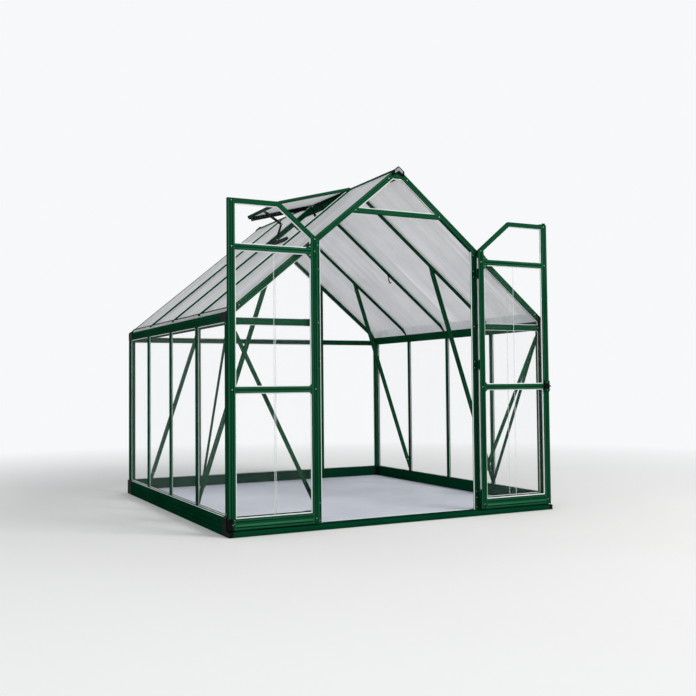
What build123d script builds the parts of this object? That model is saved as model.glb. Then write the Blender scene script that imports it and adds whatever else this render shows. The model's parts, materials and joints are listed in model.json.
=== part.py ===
"""Glass greenhouse: a green metal frame on a low base, clear wall panels, translucent roof panels,
two doors hung on outside hinges and a roof vent fixed open.

Millimetres, +Z up. Seen from the doors +X is to the right, and the doors face -Y. The origin is on
the ground at the centre of the base. At rest both doors are folded back against the front wall.
"""

import os
from math import atan, cos, sin, sqrt

from build123d import *

# Overall sizes
WIDTH = 2440.0                # over the side sills
LENGTH = 2590.0               # from the front kerb's face to the rear sill's
APEX_Z = 2358.0               # where the two roof planes meet
EAVE_BOTTOM = 1302.0
EAVE_TOP = 1356.0

# Base
SILL_H = 112.0
SILL_T = 56.0
KERB_H = 32.0                 # the low front kerb is the threshold too
KERB_SET = 54.0               # front wall plane behind the kerb's face
LEDGE = 10.0                  # side and rear wall planes behind the sill's face
BEVEL = 12.0
CAP_ROUND = 8.0
CAP_SIDE = 120.0              # corner cap along the side
CAP_FRONT = 28.0              # its foot across the front
FLOOR_TOP = 30.0

# Frame bars
POST = 44.0
STUD_W = 26.0
STUD_D = 30.0
RAFTER_W = 21.0
RAFTER_D = 28.0
RAKE_W = 34.0
RAKE_D = 34.0
GUTTER_WALL = 4.0
GUTTER_BED = 14.0             # thickness of the gutter's floor
GUTTER_LIP = 2.0              # end cap beyond the gutter
EAVE_CAP = 110.0              # its cover along the gutter
DOORWAY_HALF = 586.0          # half the clear doorway
DOOR_POST_W = 26.0
DOOR_POST_D = 22.0
HEADER_DROP = 296.0           # header's top below the apex
HEADER_H = 30.0
TRANSOM_Z = 1286.0
TRANSOM_H = 33.0
BAR_D = 26.0                  # depth of header, transoms and mullions
MULLION_X = 600.0
MULLION_W = 30.0
RIDGE_HALF = 34.0
RIDGE_KEEL = 12.0
RIDGE_DEEP = 72.0
RIDGE_CAP_LIP = 9.0
RIDGE_CAP_T = 12.0
VEE_W = 5.0                   # grooves along the extruded bars
VEE_D = 2.2

# Panels
CLEAR_T = 4.0
ROOF_T = 6.0
PANEL_IN = 12.0               # wall panel's outer face behind the frame's
ROOF_IN = 4.0                 # roof panel's face below the roof plane
SLOT = 8.0                    # depth of the glazing slots
SLOT_PLAY = 0.3               # air on each face of a panel in its slot
BITE = SLOT - 0.2
SHEET_OVER = 14.0             # roof panel beyond the gutter's inner wall

# Stiffening bars
TIE_W = 22.0
TIE_T = 18.0
TIE_HEAD = 632.0              # tie's inner edge at the rafter, from the middle plane
TIE_FOOT = 150.0
BRACE_W = 48.0                # plumb width of a brace
BRACE_T = 6.0
GUSSET = 40.0
GUSSET_T = 6.0

# Vent
VENT_LOW = 480.0              # opening's lower edge from the middle plane
VENT_SILL = 26.0
VENT_LENGTH = 582.0
VENT_LIFT = 0.436             # radians above the roof plane
VENT_BAR = 24.0
VENT_T = 18.0
VENT_LAP = 8.0
STAY_BAR = 14.0
STAY_T = 8.0
STAY_FOOT = 400.0
STAY_INSET = 4.0
STAY_ELBOW_X = 452.0
STAY_ELBOW_UP = 112.0         # elbow above the roof plane

# Doors
LEAF_T = 22.0
LEAF_OFF = 16.0               # air between a leaf and the wall plane
HINGE_IN = 24.0               # hinge axis outside the doorway's edge
HINGE_GAP = 7.0               # axis to the leaf's edge
MEET = 4.0                    # closing edge to the middle plane, when shut
LEAF_CLEAR = 8.0              # leaf above the kerb
HEAD_LAP = 16.0               # leaf's top above the header's bottom
HEAD_DROP = 20.0              # sloping head below the roof plane, square to it
TALL_W = 46.0
HUNG_W = 44.0
BOTTOM_RAIL = 66.0
RAIL_H = 34.0
HEAD_RAIL = 29.0
MID_RAIL_Z = 864.0
HIGH_RAIL_DROP = 98.0         # upper rail below the low end of the sloping head
LEAF_GUSSET = 36.0
MID_GUSSET = 18.0

# Hinges, lock and lever
BARREL_R = 5.5
PIN_R = 2.5
PIN_PLAY = 0.15
KNUCKLE = 15.0
KNUCKLE_GAP = 0.5
HINGE_Z = (140.0, 1035.0, 1668.0)
PLATE_T = 2.5
PLATE_H = 60.0
ARM_T = 4.0
LOCK_H = 76.0
LOCK_T = 12.0
LOCK_ROUND = 4.0
LEVER_Z = 882.0
LEVER_IN = 42.0               # lever's axis from the closing edge
HUB_R = 9.0
HUB_L = 16.0
LEVER_END = 3.0               # lever's tip inside the closing edge
LEVER_W = 13.0
LEVER_TIP = 9.0
LEVER_T = 8.0
LEVER_PLAY = 0.4

# Derived sizes
HALF_W = WIDTH / 2
KERB_Y = -LENGTH / 2
FRONT_Y = KERB_Y + KERB_SET                     # front wall plane
REAR_Y = LENGTH / 2 - LEDGE                     # rear wall plane
SIDE_X = HALF_W - LEDGE                         # side wall planes
MID_Y = (FRONT_Y + REAR_Y) / 2
STUD_Y = [FRONT_Y + (REAR_Y - FRONT_Y) * k / 4 for k in (1, 2, 3)]
FALL = (APEX_Z - EAVE_TOP) / SIDE_X             # roof's fall per unit of width
COS_ROOF = 1 / sqrt(1 + FALL**2)
SIN_ROOF = FALL * COS_ROOF
EAVE_X = SIDE_X - POST                          # gutter's inner face
DOOR_POST_X = DOORWAY_HALF + DOOR_POST_W
HEADER_TOP = APEX_Z - HEADER_DROP
HEADER_Z = HEADER_TOP - HEADER_H
TRANSOM_TOP = TRANSOM_Z + TRANSOM_H
HINGE_X = DOORWAY_HALF + HINGE_IN
LEAF_BACK = FRONT_Y - LEAF_OFF
LEAF_FRONT = LEAF_BACK - LEAF_T
AXIS_Y = (LEAF_FRONT + LEAF_BACK) / 2
LEAF_IN = HINGE_GAP
LEAF_EDGE = HINGE_X - MEET                      # closing edge from the hinge axis
LEAF_Z = KERB_H + LEAF_CLEAR
LEAF_TOP = HEADER_Z + HEAD_LAP
HIGH_RAIL_Z = APEX_Z - FALL * (HINGE_X - LEAF_IN) - HEAD_DROP / COS_ROOF - HIGH_RAIL_DROP
PANE_MID = PANEL_IN + CLEAR_T / 2
FRONT_PANE = (FRONT_Y + PANEL_IN, FRONT_Y + PANEL_IN + CLEAR_T)
SHEET_MID = ROOF_IN + ROOF_T / 2
SHEET_TOP = ROOF_IN - SLOT_PLAY
SHEET_LOW = ROOF_IN + ROOF_T + SLOT_PLAY
SHEET_END = EAVE_X + GUTTER_WALL + SHEET_OVER
REAR_PANE = (REAR_Y - PANEL_IN - CLEAR_T, REAR_Y - PANEL_IN)


def roof_z(x, below=0.0):
    """Height of the roof plane at x, less a distance measured square to the slope."""
    return APEX_Z - FALL * abs(x) - below / COS_ROOF


def roof_x(z, below=0.0):
    """Distance from the middle plane at which the roof plane has height z."""
    return (APEX_Z - below / COS_ROOF - z) / FALL


# Outline helpers
def edge(start, end, grooves=(), slots=(), wide=CLEAR_T, play=SLOT_PLAY):
    """Points from start up to end, with cuts to the left of the way.

    grooves are centres of V grooves and slots are centres of square glazing slots, both as
    distances from start.
    """
    (ax, ay), (bx, by) = start, end
    length = sqrt((bx - ax) ** 2 + (by - ay) ** 2)
    tx, ty = (bx - ax) / length, (by - ay) / length

    def at(along, deep):
        return (ax + tx * along - ty * deep, ay + ty * along + tx * deep)

    points = [start]
    cuts = [(g, "vee") for g in grooves] + [(s, "slot") for s in slots]
    for centre, kind in sorted(cuts):
        if kind == "vee":
            points += [at(centre - VEE_W / 2, 0), at(centre, VEE_D), at(centre + VEE_W / 2, 0)]
        else:
            half = wide / 2 + play
            points += [at(centre - half, 0), at(centre - half, SLOT),
                       at(centre + half, SLOT), at(centre + half, 0)]
    return points


def prism(plane, points, length, mode=Mode.ADD):
    """Add or cut a prism with the given outline."""
    with BuildSketch(plane) as outline:
        with BuildLine():
            Polyline(*points, close=True)
        make_face()
    extrude(outline.sketch, amount=length, mode=mode)


def along_x(x, points, mode=Mode.ADD):
    """Prism with a Y-Z outline between two X."""
    prism(Plane.YZ.offset(x[0]), points, x[1] - x[0], mode)


def along_y(y, points, mode=Mode.ADD):
    """Prism with an X-Z outline between two Y."""
    prism(Plane.XZ.offset(-y[1]), points, y[1] - y[0], mode)


def along_z(z, points, mode=Mode.ADD):
    """Prism with an X-Y outline between two Z."""
    prism(Plane.XY.offset(z[0]), points, z[1] - z[0], mode)


def block(x, y, z, mode=Mode.ADD):
    """Box between three pairs of limits."""
    with Locations(((x[0] + x[1]) / 2, (y[0] + y[1]) / 2, (z[0] + z[1]) / 2)):
        Box(x[1] - x[0], y[1] - y[0], z[1] - z[0], mode=mode)


def under_roof(below):
    """Keep only what lies under the two roof planes lowered by a distance."""
    reach = HALF_W
    along_y((KERB_Y, LENGTH / 2),
            [(-reach, 0), (reach, 0), (reach, roof_z(reach, below)), (0, roof_z(0, below)),
             (-reach, roof_z(reach, below))], mode=Mode.INTERSECT)


def both_sides(right):
    """The solids of a right-hand part with their mirror images on the left."""
    with BuildPart() as whole:
        add(right.part)
        mirror(right.part, about=Plane.YZ)
    return whole


def left_of(right):
    """The mirror image of a right-hand part."""
    with BuildPart() as left:
        mirror(right.part, about=Plane.YZ)
    return left


def box_section(low, high, grooves=(), left=(), top=(), right=(), bottom_cuts=()):
    """Rectangle outline from low to high, with grooves along the bottom edge and slots elsewhere."""
    (u0, v0), (u1, v1) = low, high
    return (edge((u0, v0), (u1, v0), grooves=grooves, slots=bottom_cuts)
            + edge((u1, v0), (u1, v1), slots=right)
            + edge((u1, v1), (u0, v1), slots=top)
            + edge((u0, v1), (u0, v0), slots=left))


# Base
with BuildPart() as front_kerb:
    block((-HALF_W + SILL_T, HALF_W - SILL_T), (FRONT_Y, FRONT_Y + SILL_T), (0, KERB_H))
    along_x((-HALF_W + CAP_FRONT, HALF_W - CAP_FRONT),
            [(KERB_Y, 0), (FRONT_Y, 0)]
            + edge((FRONT_Y, KERB_H), (KERB_Y + BEVEL, KERB_H), grooves=(6, 20))
            + [(KERB_Y + BEVEL, KERB_H), (KERB_Y, KERB_H - BEVEL)])

with BuildPart() as right_front_sill:
    depth = SILL_H - KERB_H
    along_x((DOOR_POST_X, HALF_W - SILL_T),
            [(FRONT_Y, KERB_H), (FRONT_Y + SILL_T, KERB_H)]
            + edge((FRONT_Y + SILL_T, SILL_H), (FRONT_Y, SILL_H),
                   slots=(SILL_T - PANEL_IN - CLEAR_T / 2,))
            + edge((FRONT_Y, SILL_H), (FRONT_Y, KERB_H), grooves=(depth / 3, depth * 2 / 3)))
front_sills = both_sides(right_front_sill)


def sill_outline(face):
    """Outline of a full sill with its bevelled ledge; face is its outer face."""
    inner, ledge = face - SILL_T, face - LEDGE
    return ([(inner, 0)]
            + edge((face, 0), (face, SILL_H - BEVEL), grooves=(SILL_H / 3, SILL_H * 0.62))
            + [(face, SILL_H - BEVEL)]
            + edge((ledge, SILL_H), (inner, SILL_H), slots=(PANEL_IN + CLEAR_T / 2,))
            + [(inner, SILL_H)])


with BuildPart() as right_side_sill:
    along_y((KERB_Y + CAP_SIDE, LENGTH / 2 - CAP_SIDE), sill_outline(HALF_W))
side_sills = both_sides(right_side_sill)

with BuildPart() as rear_sill:
    along_x((-HALF_W + SILL_T, HALF_W - SILL_T), sill_outline(LENGTH / 2))


def pane_slots(face, cap_end):
    """Cut the glazing slots of a right-hand corner between the end wall's plane and the side sill."""
    way = 1 if cap_end > face else -1
    half = CLEAR_T / 2 + SLOT_PLAY
    top = (SILL_H - SLOT, SILL_H)
    pane = face + way * PANE_MID
    block((HALF_W - SILL_T, EAVE_X + SLOT), (pane - half, pane + half), top, mode=Mode.SUBTRACT)
    ends = sorted((face + way * (POST - SLOT), cap_end + way * SLOT))
    block((SIDE_X - PANE_MID - half, SIDE_X - PANE_MID + half), ends, top, mode=Mode.SUBTRACT)


with BuildPart() as right_front_cap:
    block((HALF_W - SILL_T, HALF_W), (FRONT_Y, KERB_Y + CAP_SIDE), (0, SILL_H))
    block((HALF_W - CAP_FRONT, HALF_W), (KERB_Y, FRONT_Y), (0, KERB_H))
    fillet(edges().filter_by(Axis.Z).group_by(Axis.X)[-1].group_by(Axis.Y)[0], CAP_ROUND)
    pane_slots(FRONT_Y, KERB_Y + CAP_SIDE)

with BuildPart() as right_rear_cap:
    block((HALF_W - SILL_T, HALF_W), (LENGTH / 2 - CAP_SIDE, LENGTH / 2), (0, SILL_H))
    fillet(edges().filter_by(Axis.Z).group_by(Axis.X)[-1].group_by(Axis.Y)[-1], CAP_ROUND)
    pane_slots(REAR_Y, LENGTH / 2 - CAP_SIDE)

with BuildPart() as right_caps:
    add(right_front_cap.part)
    add(right_rear_cap.part)
corner_caps = both_sides(right_caps)

with BuildPart() as floor:
    block((-HALF_W + SILL_T, HALF_W - SILL_T), (FRONT_Y + SILL_T, LENGTH / 2 - SILL_T),
          (0, FLOOR_TOP))

# Wall posts and studs
with BuildPart() as right_corner_posts:
    x0, y0 = SIDE_X - POST, FRONT_Y
    along_z((SILL_H, EAVE_BOTTOM),
            edge((x0, y0), (SIDE_X, y0), grooves=(POST / 3, POST * 2 / 3))
            + edge((SIDE_X, y0), (SIDE_X, y0 + POST), grooves=(POST / 3, POST * 2 / 3))
            + edge((SIDE_X, y0 + POST), (x0, y0 + POST), slots=(PANE_MID,))
            + edge((x0, y0 + POST), (x0, y0), slots=(POST - PANE_MID,)))
    mirror(about=Plane.XZ.offset(-MID_Y))
corner_posts = both_sides(right_corner_posts)

with BuildPart() as right_studs:
    x1, x0 = SIDE_X, SIDE_X - STUD_D
    for y in STUD_Y:
        lo, hi = y - STUD_W / 2, y + STUD_W / 2
        along_z((SILL_H, EAVE_BOTTOM),
                edge((x0, lo), (x1, lo), slots=(STUD_D - PANE_MID,))
                + edge((x1, lo), (x1, hi), grooves=(STUD_W / 2,))
                + edge((x1, hi), (x0, hi), slots=(PANE_MID,))
                + [(x0, hi)])
left_studs = left_of(right_studs)

# Gutters along the eaves
with BuildPart() as right_gutter:
    wall_top = roof_z(EAVE_X + GUTTER_WALL, ROOF_IN + ROOF_T)
    bed = EAVE_BOTTOM + GUTTER_BED
    along_y((FRONT_Y + RAKE_W, REAR_Y - RAKE_W),
            edge((EAVE_X, EAVE_BOTTOM), (SIDE_X, EAVE_BOTTOM), slots=(POST - PANE_MID,))
            + edge((SIDE_X, EAVE_BOTTOM), (SIDE_X, EAVE_TOP), grooves=(14, 30))
            + [(SIDE_X, EAVE_TOP), (SIDE_X - GUTTER_WALL, EAVE_TOP), (SIDE_X - GUTTER_WALL, bed),
               (EAVE_X + GUTTER_WALL, bed), (EAVE_X + GUTTER_WALL, wall_top),
               (EAVE_X, roof_z(EAVE_X, ROOF_IN + ROOF_T))])
eave_rails = both_sides(right_gutter)

with BuildPart() as right_gutter_caps:
    far = SIDE_X + GUTTER_LIP
    low, high = EAVE_BOTTOM - GUTTER_LIP, EAVE_TOP + GUTTER_LIP
    lip = SIDE_X - GUTTER_WALL
    for y in ((FRONT_Y, FRONT_Y + RAKE_W), (REAR_Y - RAKE_W, REAR_Y)):
        along_y(y, [(EAVE_X, EAVE_BOTTOM), (SIDE_X, EAVE_BOTTOM), (SIDE_X, low), (far, low),
                    (far, high), (EAVE_X, roof_z(EAVE_X))])
    for y in ((FRONT_Y + RAKE_W, FRONT_Y + EAVE_CAP), (REAR_Y - EAVE_CAP, REAR_Y - RAKE_W)):
        along_y(y, [(SIDE_X, low), (far, low), (far, high), (lip, high), (lip, EAVE_TOP), (SIDE_X, EAVE_TOP)])
    end = SHEET_END + SLOT_PLAY
    along_y((FRONT_Y + RAKE_W - SLOT, REAR_Y - RAKE_W + SLOT),
            [(EAVE_X, roof_z(EAVE_X, SHEET_TOP)), (EAVE_X, roof_z(EAVE_X, SHEET_LOW)),
             (end, roof_z(end, SHEET_LOW)), (end, roof_z(end, SHEET_TOP))], mode=Mode.SUBTRACT)
eave_caps = both_sides(right_gutter_caps)

# Ridge
SLOT_X = RIDGE_HALF - SLOT
with BuildPart() as ridge_beam:
    half = [(0, APEX_Z), (RIDGE_HALF, roof_z(RIDGE_HALF)), (RIDGE_HALF, roof_z(RIDGE_HALF, SHEET_TOP)),
            (SLOT_X, roof_z(SLOT_X, SHEET_TOP)), (SLOT_X, roof_z(SLOT_X, SHEET_LOW)),
            (RIDGE_HALF, roof_z(RIDGE_HALF, SHEET_LOW)), (RIDGE_HALF, roof_z(RIDGE_HALF, RAFTER_D)),
            (RIDGE_KEEL, APEX_Z - RIDGE_DEEP)]
    along_y((FRONT_Y, REAR_Y), half + [(-x, z) for x, z in reversed(half[1:])])

with BuildPart() as ridge_caps:
    wide = RIDGE_HALF + RIDGE_CAP_LIP
    for y in ((FRONT_Y - RIDGE_CAP_T, FRONT_Y), (REAR_Y, REAR_Y + RIDGE_CAP_T)):
        along_y(y, [(0, APEX_Z + RIDGE_CAP_LIP), (wide, roof_z(wide) + RIDGE_CAP_LIP),
                    (wide, roof_z(wide, RAKE_D / 2)), (0, APEX_Z - RIDGE_DEEP / 2),
                    (-wide, roof_z(wide, RAKE_D / 2)), (-wide, roof_z(wide) + RIDGE_CAP_LIP)])
    fillet(edges().filter_by(Axis.Y).group_by(Axis.Z)[-1], CAP_ROUND)

# Sloping bars of the right-hand roof
RIGHT_SLOPE = Plane(origin=(0, 0, APEX_Z), x_dir=(0, 1, 0), z_dir=(COS_ROOF, 0, -SIN_ROOF))


def slope_bars(sections, start, end):
    """Bars down the right-hand slope, cut plumb; a section is in Y and height off the roof plane."""
    with BuildPart() as bars:
        for section in sections:
            prism(RIGHT_SLOPE, section, (SIDE_X + POST) / COS_ROOF)
        block((start, end), (KERB_Y, LENGTH / 2), (0, APEX_Z), mode=Mode.INTERSECT)
    return bars


def h_section(y):
    """Rafter section with a sheet slot on each side."""
    lo, hi = y - RAFTER_W / 2, y + RAFTER_W / 2
    return ([(lo, -RAFTER_D)]
            + edge((hi, -RAFTER_D), (hi, 0), slots=(RAFTER_D - SHEET_MID,), wide=ROOF_T)
            + edge((hi, 0), (lo, 0), grooves=(RAFTER_W / 2,))
            + edge((lo, 0), (lo, -RAFTER_D), slots=(SHEET_MID,), wide=ROOF_T))


right_rafters = slope_bars([h_section(y) for y in STUD_Y], RIDGE_HALF, EAVE_X)
left_rafters = left_of(right_rafters)

RAKE_SECTION = (
    edge((FRONT_Y, -RAKE_D), (FRONT_Y + RAKE_W, -RAKE_D), slots=(PANE_MID,))
    + edge((FRONT_Y + RAKE_W, -RAKE_D), (FRONT_Y + RAKE_W, 0), slots=(RAKE_D - SHEET_MID,), wide=ROOF_T)
    + [(FRONT_Y + RAKE_W, 0)]
    + edge((FRONT_Y, 0), (FRONT_Y, -RAKE_D), grooves=(RAKE_D * 0.4, RAKE_D * 0.7)))
right_front_rake = slope_bars([RAKE_SECTION], RIDGE_HALF, EAVE_X)
front_rakes = both_sides(right_front_rake)
with BuildPart() as rear_rakes:
    mirror(front_rakes.part, about=Plane.XZ.offset(-MID_Y))


def ear(x, z, way_x, way_z, leg, y):
    """Triangular bracket in the corner between two bars of a wall or leaf."""
    points = [(x, z), (x + way_x * leg, z), (x, z + way_z * leg)]
    along_y(y, points if way_x * way_z > 0 else points[::-1])


# Front wall bars
with BuildPart() as right_door_post:
    along_z((KERB_H, APEX_Z),
            box_section((DOORWAY_HALF, FRONT_Y), (DOOR_POST_X, FRONT_Y + DOOR_POST_D),
                        grooves=(DOOR_POST_W / 2,), right=(PANE_MID,)))
    under_roof(RAKE_D)
door_posts = both_sides(right_door_post)

with BuildPart() as door_header:
    along_x((-DOORWAY_HALF, DOORWAY_HALF),
            box_section((FRONT_Y, HEADER_Z), (FRONT_Y + BAR_D, HEADER_TOP), top=(BAR_D - PANE_MID,)))
    under_roof(RAKE_D)

with BuildPart() as right_transom:
    along_x((DOOR_POST_X, EAVE_X),
            box_section((FRONT_Y, TRANSOM_Z), (FRONT_Y + BAR_D, TRANSOM_TOP),
                        bottom_cuts=(PANE_MID,), top=(BAR_D - PANE_MID,)))
    ear(DOOR_POST_X, TRANSOM_Z, 1, -1, GUSSET, (FRONT_Y, FRONT_Y + GUSSET_T))
    ear(DOOR_POST_X, TRANSOM_TOP, 1, 1, GUSSET, (FRONT_Y, FRONT_Y + GUSSET_T))
front_transoms = both_sides(right_transom)

# Rear wall bars
MULLION_IN = MULLION_X - MULLION_W / 2
MULLION_OUT = MULLION_X + MULLION_W / 2
with BuildPart() as rear_transoms:
    for x in ((-EAVE_X, -MULLION_OUT), (-MULLION_IN, MULLION_IN), (MULLION_OUT, EAVE_X)):
        along_x(x, box_section((REAR_Y - BAR_D, TRANSOM_Z), (REAR_Y, TRANSOM_TOP),
                               bottom_cuts=(BAR_D - PANE_MID,), top=(PANE_MID,)))

with BuildPart() as right_mullion:
    along_z((SILL_H, APEX_Z),
            box_section((MULLION_IN, REAR_Y - BAR_D), (MULLION_OUT, REAR_Y),
                        right=(BAR_D - PANE_MID,), left=(PANE_MID,)))
    under_roof(RAKE_D)
rear_mullions = both_sides(right_mullion)

# Wall panels
with BuildPart() as right_wall_panels:
    faces = [FRONT_Y + POST] + [y + d for y in STUD_Y for d in (-STUD_W / 2, STUD_W / 2)]
    faces.append(REAR_Y - POST)
    for a, b in zip(faces[0::2], faces[1::2]):
        block((SIDE_X - PANEL_IN - CLEAR_T, SIDE_X - PANEL_IN), (a - BITE, b + BITE),
              (SILL_H - BITE, EAVE_BOTTOM + BITE))
left_wall_panels = left_of(right_wall_panels)


def side_panes(inner, outer, pane):
    """Lower and upper panel between a post and the corner of an end wall, in their slots."""
    a = inner - BITE
    block((a, outer + BITE), pane, (SILL_H - BITE, TRANSOM_Z + BITE))
    along_y(pane, [(a, TRANSOM_TOP - BITE), (outer, TRANSOM_TOP - BITE),
                   (outer, roof_z(outer, RAKE_D - BITE)), (a, roof_z(a, RAKE_D - BITE))])


with BuildPart() as right_front_panels:
    side_panes(DOOR_POST_X, EAVE_X, FRONT_PANE)
front_panels = both_sides(right_front_panels)

with BuildPart() as gable_panel:
    block((-DOORWAY_HALF, DOORWAY_HALF), FRONT_PANE, (HEADER_TOP - BITE, APEX_Z - RIDGE_DEEP))
    under_roof(RAKE_D - BITE)

with BuildPart() as right_rear_panels:
    side_panes(MULLION_OUT, EAVE_X, REAR_PANE)

with BuildPart() as rear_middle_panels:
    mid = MULLION_IN + BITE
    block((-mid, mid), REAR_PANE, (SILL_H - BITE, TRANSOM_Z + BITE))
    block((-mid, mid), REAR_PANE, (TRANSOM_TOP - BITE, APEX_Z - RIDGE_DEEP))
    under_roof(RAKE_D - BITE)

with BuildPart() as rear_panels:
    add(rear_middle_panels.part)
    add(right_rear_panels.part)
    mirror(right_rear_panels.part, about=Plane.YZ)

# Roof panels
ends = [FRONT_Y + RAKE_W] + [y + d for y in STUD_Y for d in (-RAFTER_W / 2, RAFTER_W / 2)]
ends.append(REAR_Y - RAKE_W)
BAYS = list(zip(ends[0::2], ends[1::2]))


def roof_sheet(bay, start):
    """Right-hand roof panel of one bay, from a distance off the middle plane to the gutter."""
    a, b = start, SHEET_END
    top, low = ROOF_IN, ROOF_IN + ROOF_T
    along_y((bay[0] - BITE, bay[1] + BITE),
            [(a, roof_z(a, top)), (a, roof_z(a, low)), (b, roof_z(b, low)), (b, roof_z(b, top))])


with BuildPart() as right_roof_panels:
    for bay in BAYS:
        roof_sheet(bay, RIDGE_HALF - BITE)

with BuildPart() as vented_roof_panels:
    for number, bay in enumerate(BAYS):
        roof_sheet(bay, VENT_LOW + VENT_SILL - BITE if number == 1 else RIDGE_HALF - BITE)
left_roof_panels = left_of(vented_roof_panels)

# Bar under the vent, between two rafters
VENT_Y = (BAYS[1][0], BAYS[1][1])
with BuildPart() as right_vent_sill:
    a, b = VENT_LOW, VENT_LOW + VENT_SILL
    along_y(VENT_Y, [(a, roof_z(a)), (a, roof_z(a, RAFTER_D)), (b, roof_z(b, RAFTER_D)),
                     (b, roof_z(b, SHEET_LOW)), (b - SLOT, roof_z(b - SLOT, SHEET_LOW)),
                     (b - SLOT, roof_z(b - SLOT, SHEET_TOP)), (b, roof_z(b, SHEET_TOP)), (b, roof_z(b))])
vent_sill = left_of(right_vent_sill)

# Vent flap, fixed open, hinged at the edge of the ridge
VENT_FALL = atan(FALL) - VENT_LIFT


def flap(along, up):
    """X and Z of a point of the open flap, from its hinge and its underside."""
    return (-RIDGE_HALF - along * cos(VENT_FALL) - up * sin(VENT_FALL),
            roof_z(RIDGE_HALF) - along * sin(VENT_FALL) + up * cos(VENT_FALL))


def flap_piece(along, up, y):
    """A straight piece of the flap."""
    (a, b), (low, high) = along, up
    along_y(y, [flap(a, low), flap(a, high), flap(b, high), flap(b, low)])


FLAP_Y = (VENT_Y[0] - VENT_LAP, VENT_Y[1] + VENT_LAP)
with BuildPart() as vent_flap:
    for y in ((FLAP_Y[0], FLAP_Y[0] + VENT_BAR), (FLAP_Y[1] - VENT_BAR, FLAP_Y[1])):
        flap_piece((0, VENT_LENGTH), (0, VENT_T), y)
    inside = (FLAP_Y[0] + VENT_BAR, FLAP_Y[1] - VENT_BAR)
    flap_piece((0, VENT_BAR), (0, VENT_T), inside)
    flap_piece((VENT_LENGTH - VENT_BAR, VENT_LENGTH), (0, VENT_T), inside)

with BuildPart() as vent_sheet:
    flap_piece((VENT_BAR, VENT_LENGTH - VENT_BAR), (VENT_T / 3, VENT_T / 3 + ROOF_T), inside)

# Vent stay: a foot on the sill bar, a short post and an arm to the flap's lower bar
STAY_Y = (VENT_Y[0] + VENT_Y[1]) / 2


def strap(start, end, width, y):
    """Flat bar with round ends between two X-Z points."""
    length = sqrt((end[0] - start[0]) ** 2 + (end[1] - start[1]) ** 2)
    lean = Vector(end[0] - start[0], 0, end[1] - start[1]).normalized()
    middle = ((start[0] + end[0]) / 2, y[1], (start[1] + end[1]) / 2)
    with BuildSketch(Plane(origin=middle, x_dir=lean, z_dir=(0, -1, 0))) as outline:
        SlotCenterToCenter(length, width)
    extrude(outline.sketch, amount=y[1] - y[0])


STAY_OUT = VENT_LOW + STAY_INSET
FOOT_TOP = roof_z(STAY_OUT) + STAY_BAR
with BuildPart() as stay_foot:
    x0, x1 = -STAY_OUT - STAY_BAR, -STAY_OUT
    along_y((STAY_Y - STAY_FOOT / 2, STAY_Y + STAY_FOOT / 2),
            [(x0, roof_z(x0)), (x1, roof_z(x1)), (x1, FOOT_TOP), (x0, FOOT_TOP)])
    block((x0, x1), (STAY_Y - STAY_T, STAY_Y), (FOOT_TOP, FOOT_TOP + 2 * STAY_BAR))

FOOT_AT = (-STAY_OUT - STAY_BAR / 2, FOOT_TOP + STAY_BAR / 2)
ELBOW_AT = (-STAY_ELBOW_X, roof_z(STAY_ELBOW_X) + STAY_ELBOW_UP)
HEAD_AT = flap(VENT_LENGTH - VENT_BAR / 2, -STAY_BAR / 2)
with BuildPart() as vent_stay:
    strap(FOOT_AT, ELBOW_AT, STAY_BAR, (STAY_Y, STAY_Y + STAY_T))
    strap(ELBOW_AT, HEAD_AT, STAY_BAR, (STAY_Y - STAY_T, STAY_Y))

# Tie bars from the rafters to the feet of the studs
STUD_IN = SIDE_X - STUD_D
with BuildPart() as right_ties:
    head_z = roof_z(TIE_HEAD, RAFTER_D)
    run, rise = STUD_IN - TIE_HEAD, head_z - TIE_FOOT
    tie_len = sqrt(run**2 + rise**2)
    foot_up = TIE_W * tie_len / run
    across = TIE_W / (rise / tie_len - FALL * run / tie_len)
    for y in (STUD_Y[0], STUD_Y[2]):
        along_y((y - TIE_T / 2, y + TIE_T / 2),
                [(TIE_HEAD, head_z), (STUD_IN, TIE_FOOT), (STUD_IN, TIE_FOOT + foot_up),
                 (TIE_HEAD + across, roof_z(TIE_HEAD + across, RAFTER_D))])
tie_bars = both_sides(right_ties)

# Braces in the planes of the walls
with BuildPart() as right_side_brace:
    a, b = FRONT_Y + POST, STUD_Y[0] - STUD_W / 2
    x1 = SIDE_X - PANEL_IN - CLEAR_T - SLOT_PLAY
    along_x((x1 - BRACE_T, x1), [(a, EAVE_BOTTOM - BRACE_W), (b, SILL_H), (b, SILL_H + BRACE_W),
                                 (a, EAVE_BOTTOM)])
side_braces = both_sides(right_side_brace)

with BuildPart() as right_front_brace:
    a, b = DOOR_POST_X, EAVE_X
    y0 = FRONT_PANE[1] + SLOT_PLAY
    along_y((y0, y0 + BRACE_T), [(a, SILL_H), (b, TRANSOM_Z - BRACE_W), (b, TRANSOM_Z),
                                 (a, SILL_H + BRACE_W)])
front_braces = both_sides(right_front_brace)


# Door leaves, measured outward from the hinge axis in the open pose
FLAT_AT = HINGE_X - roof_x(LEAF_TOP, HEAD_DROP)
LEAF_MID = (AXIS_Y - CLEAR_T / 2, AXIS_Y + CLEAR_T / 2)
PANE_IN = LEAF_IN + HUNG_W
PANE_OUT = LEAF_EDGE - TALL_W


def leaf_top(out):
    """Top of the leaf at a distance from the hinge axis."""
    return min(LEAF_TOP, roof_z(HINGE_X - out, HEAD_DROP))


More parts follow.
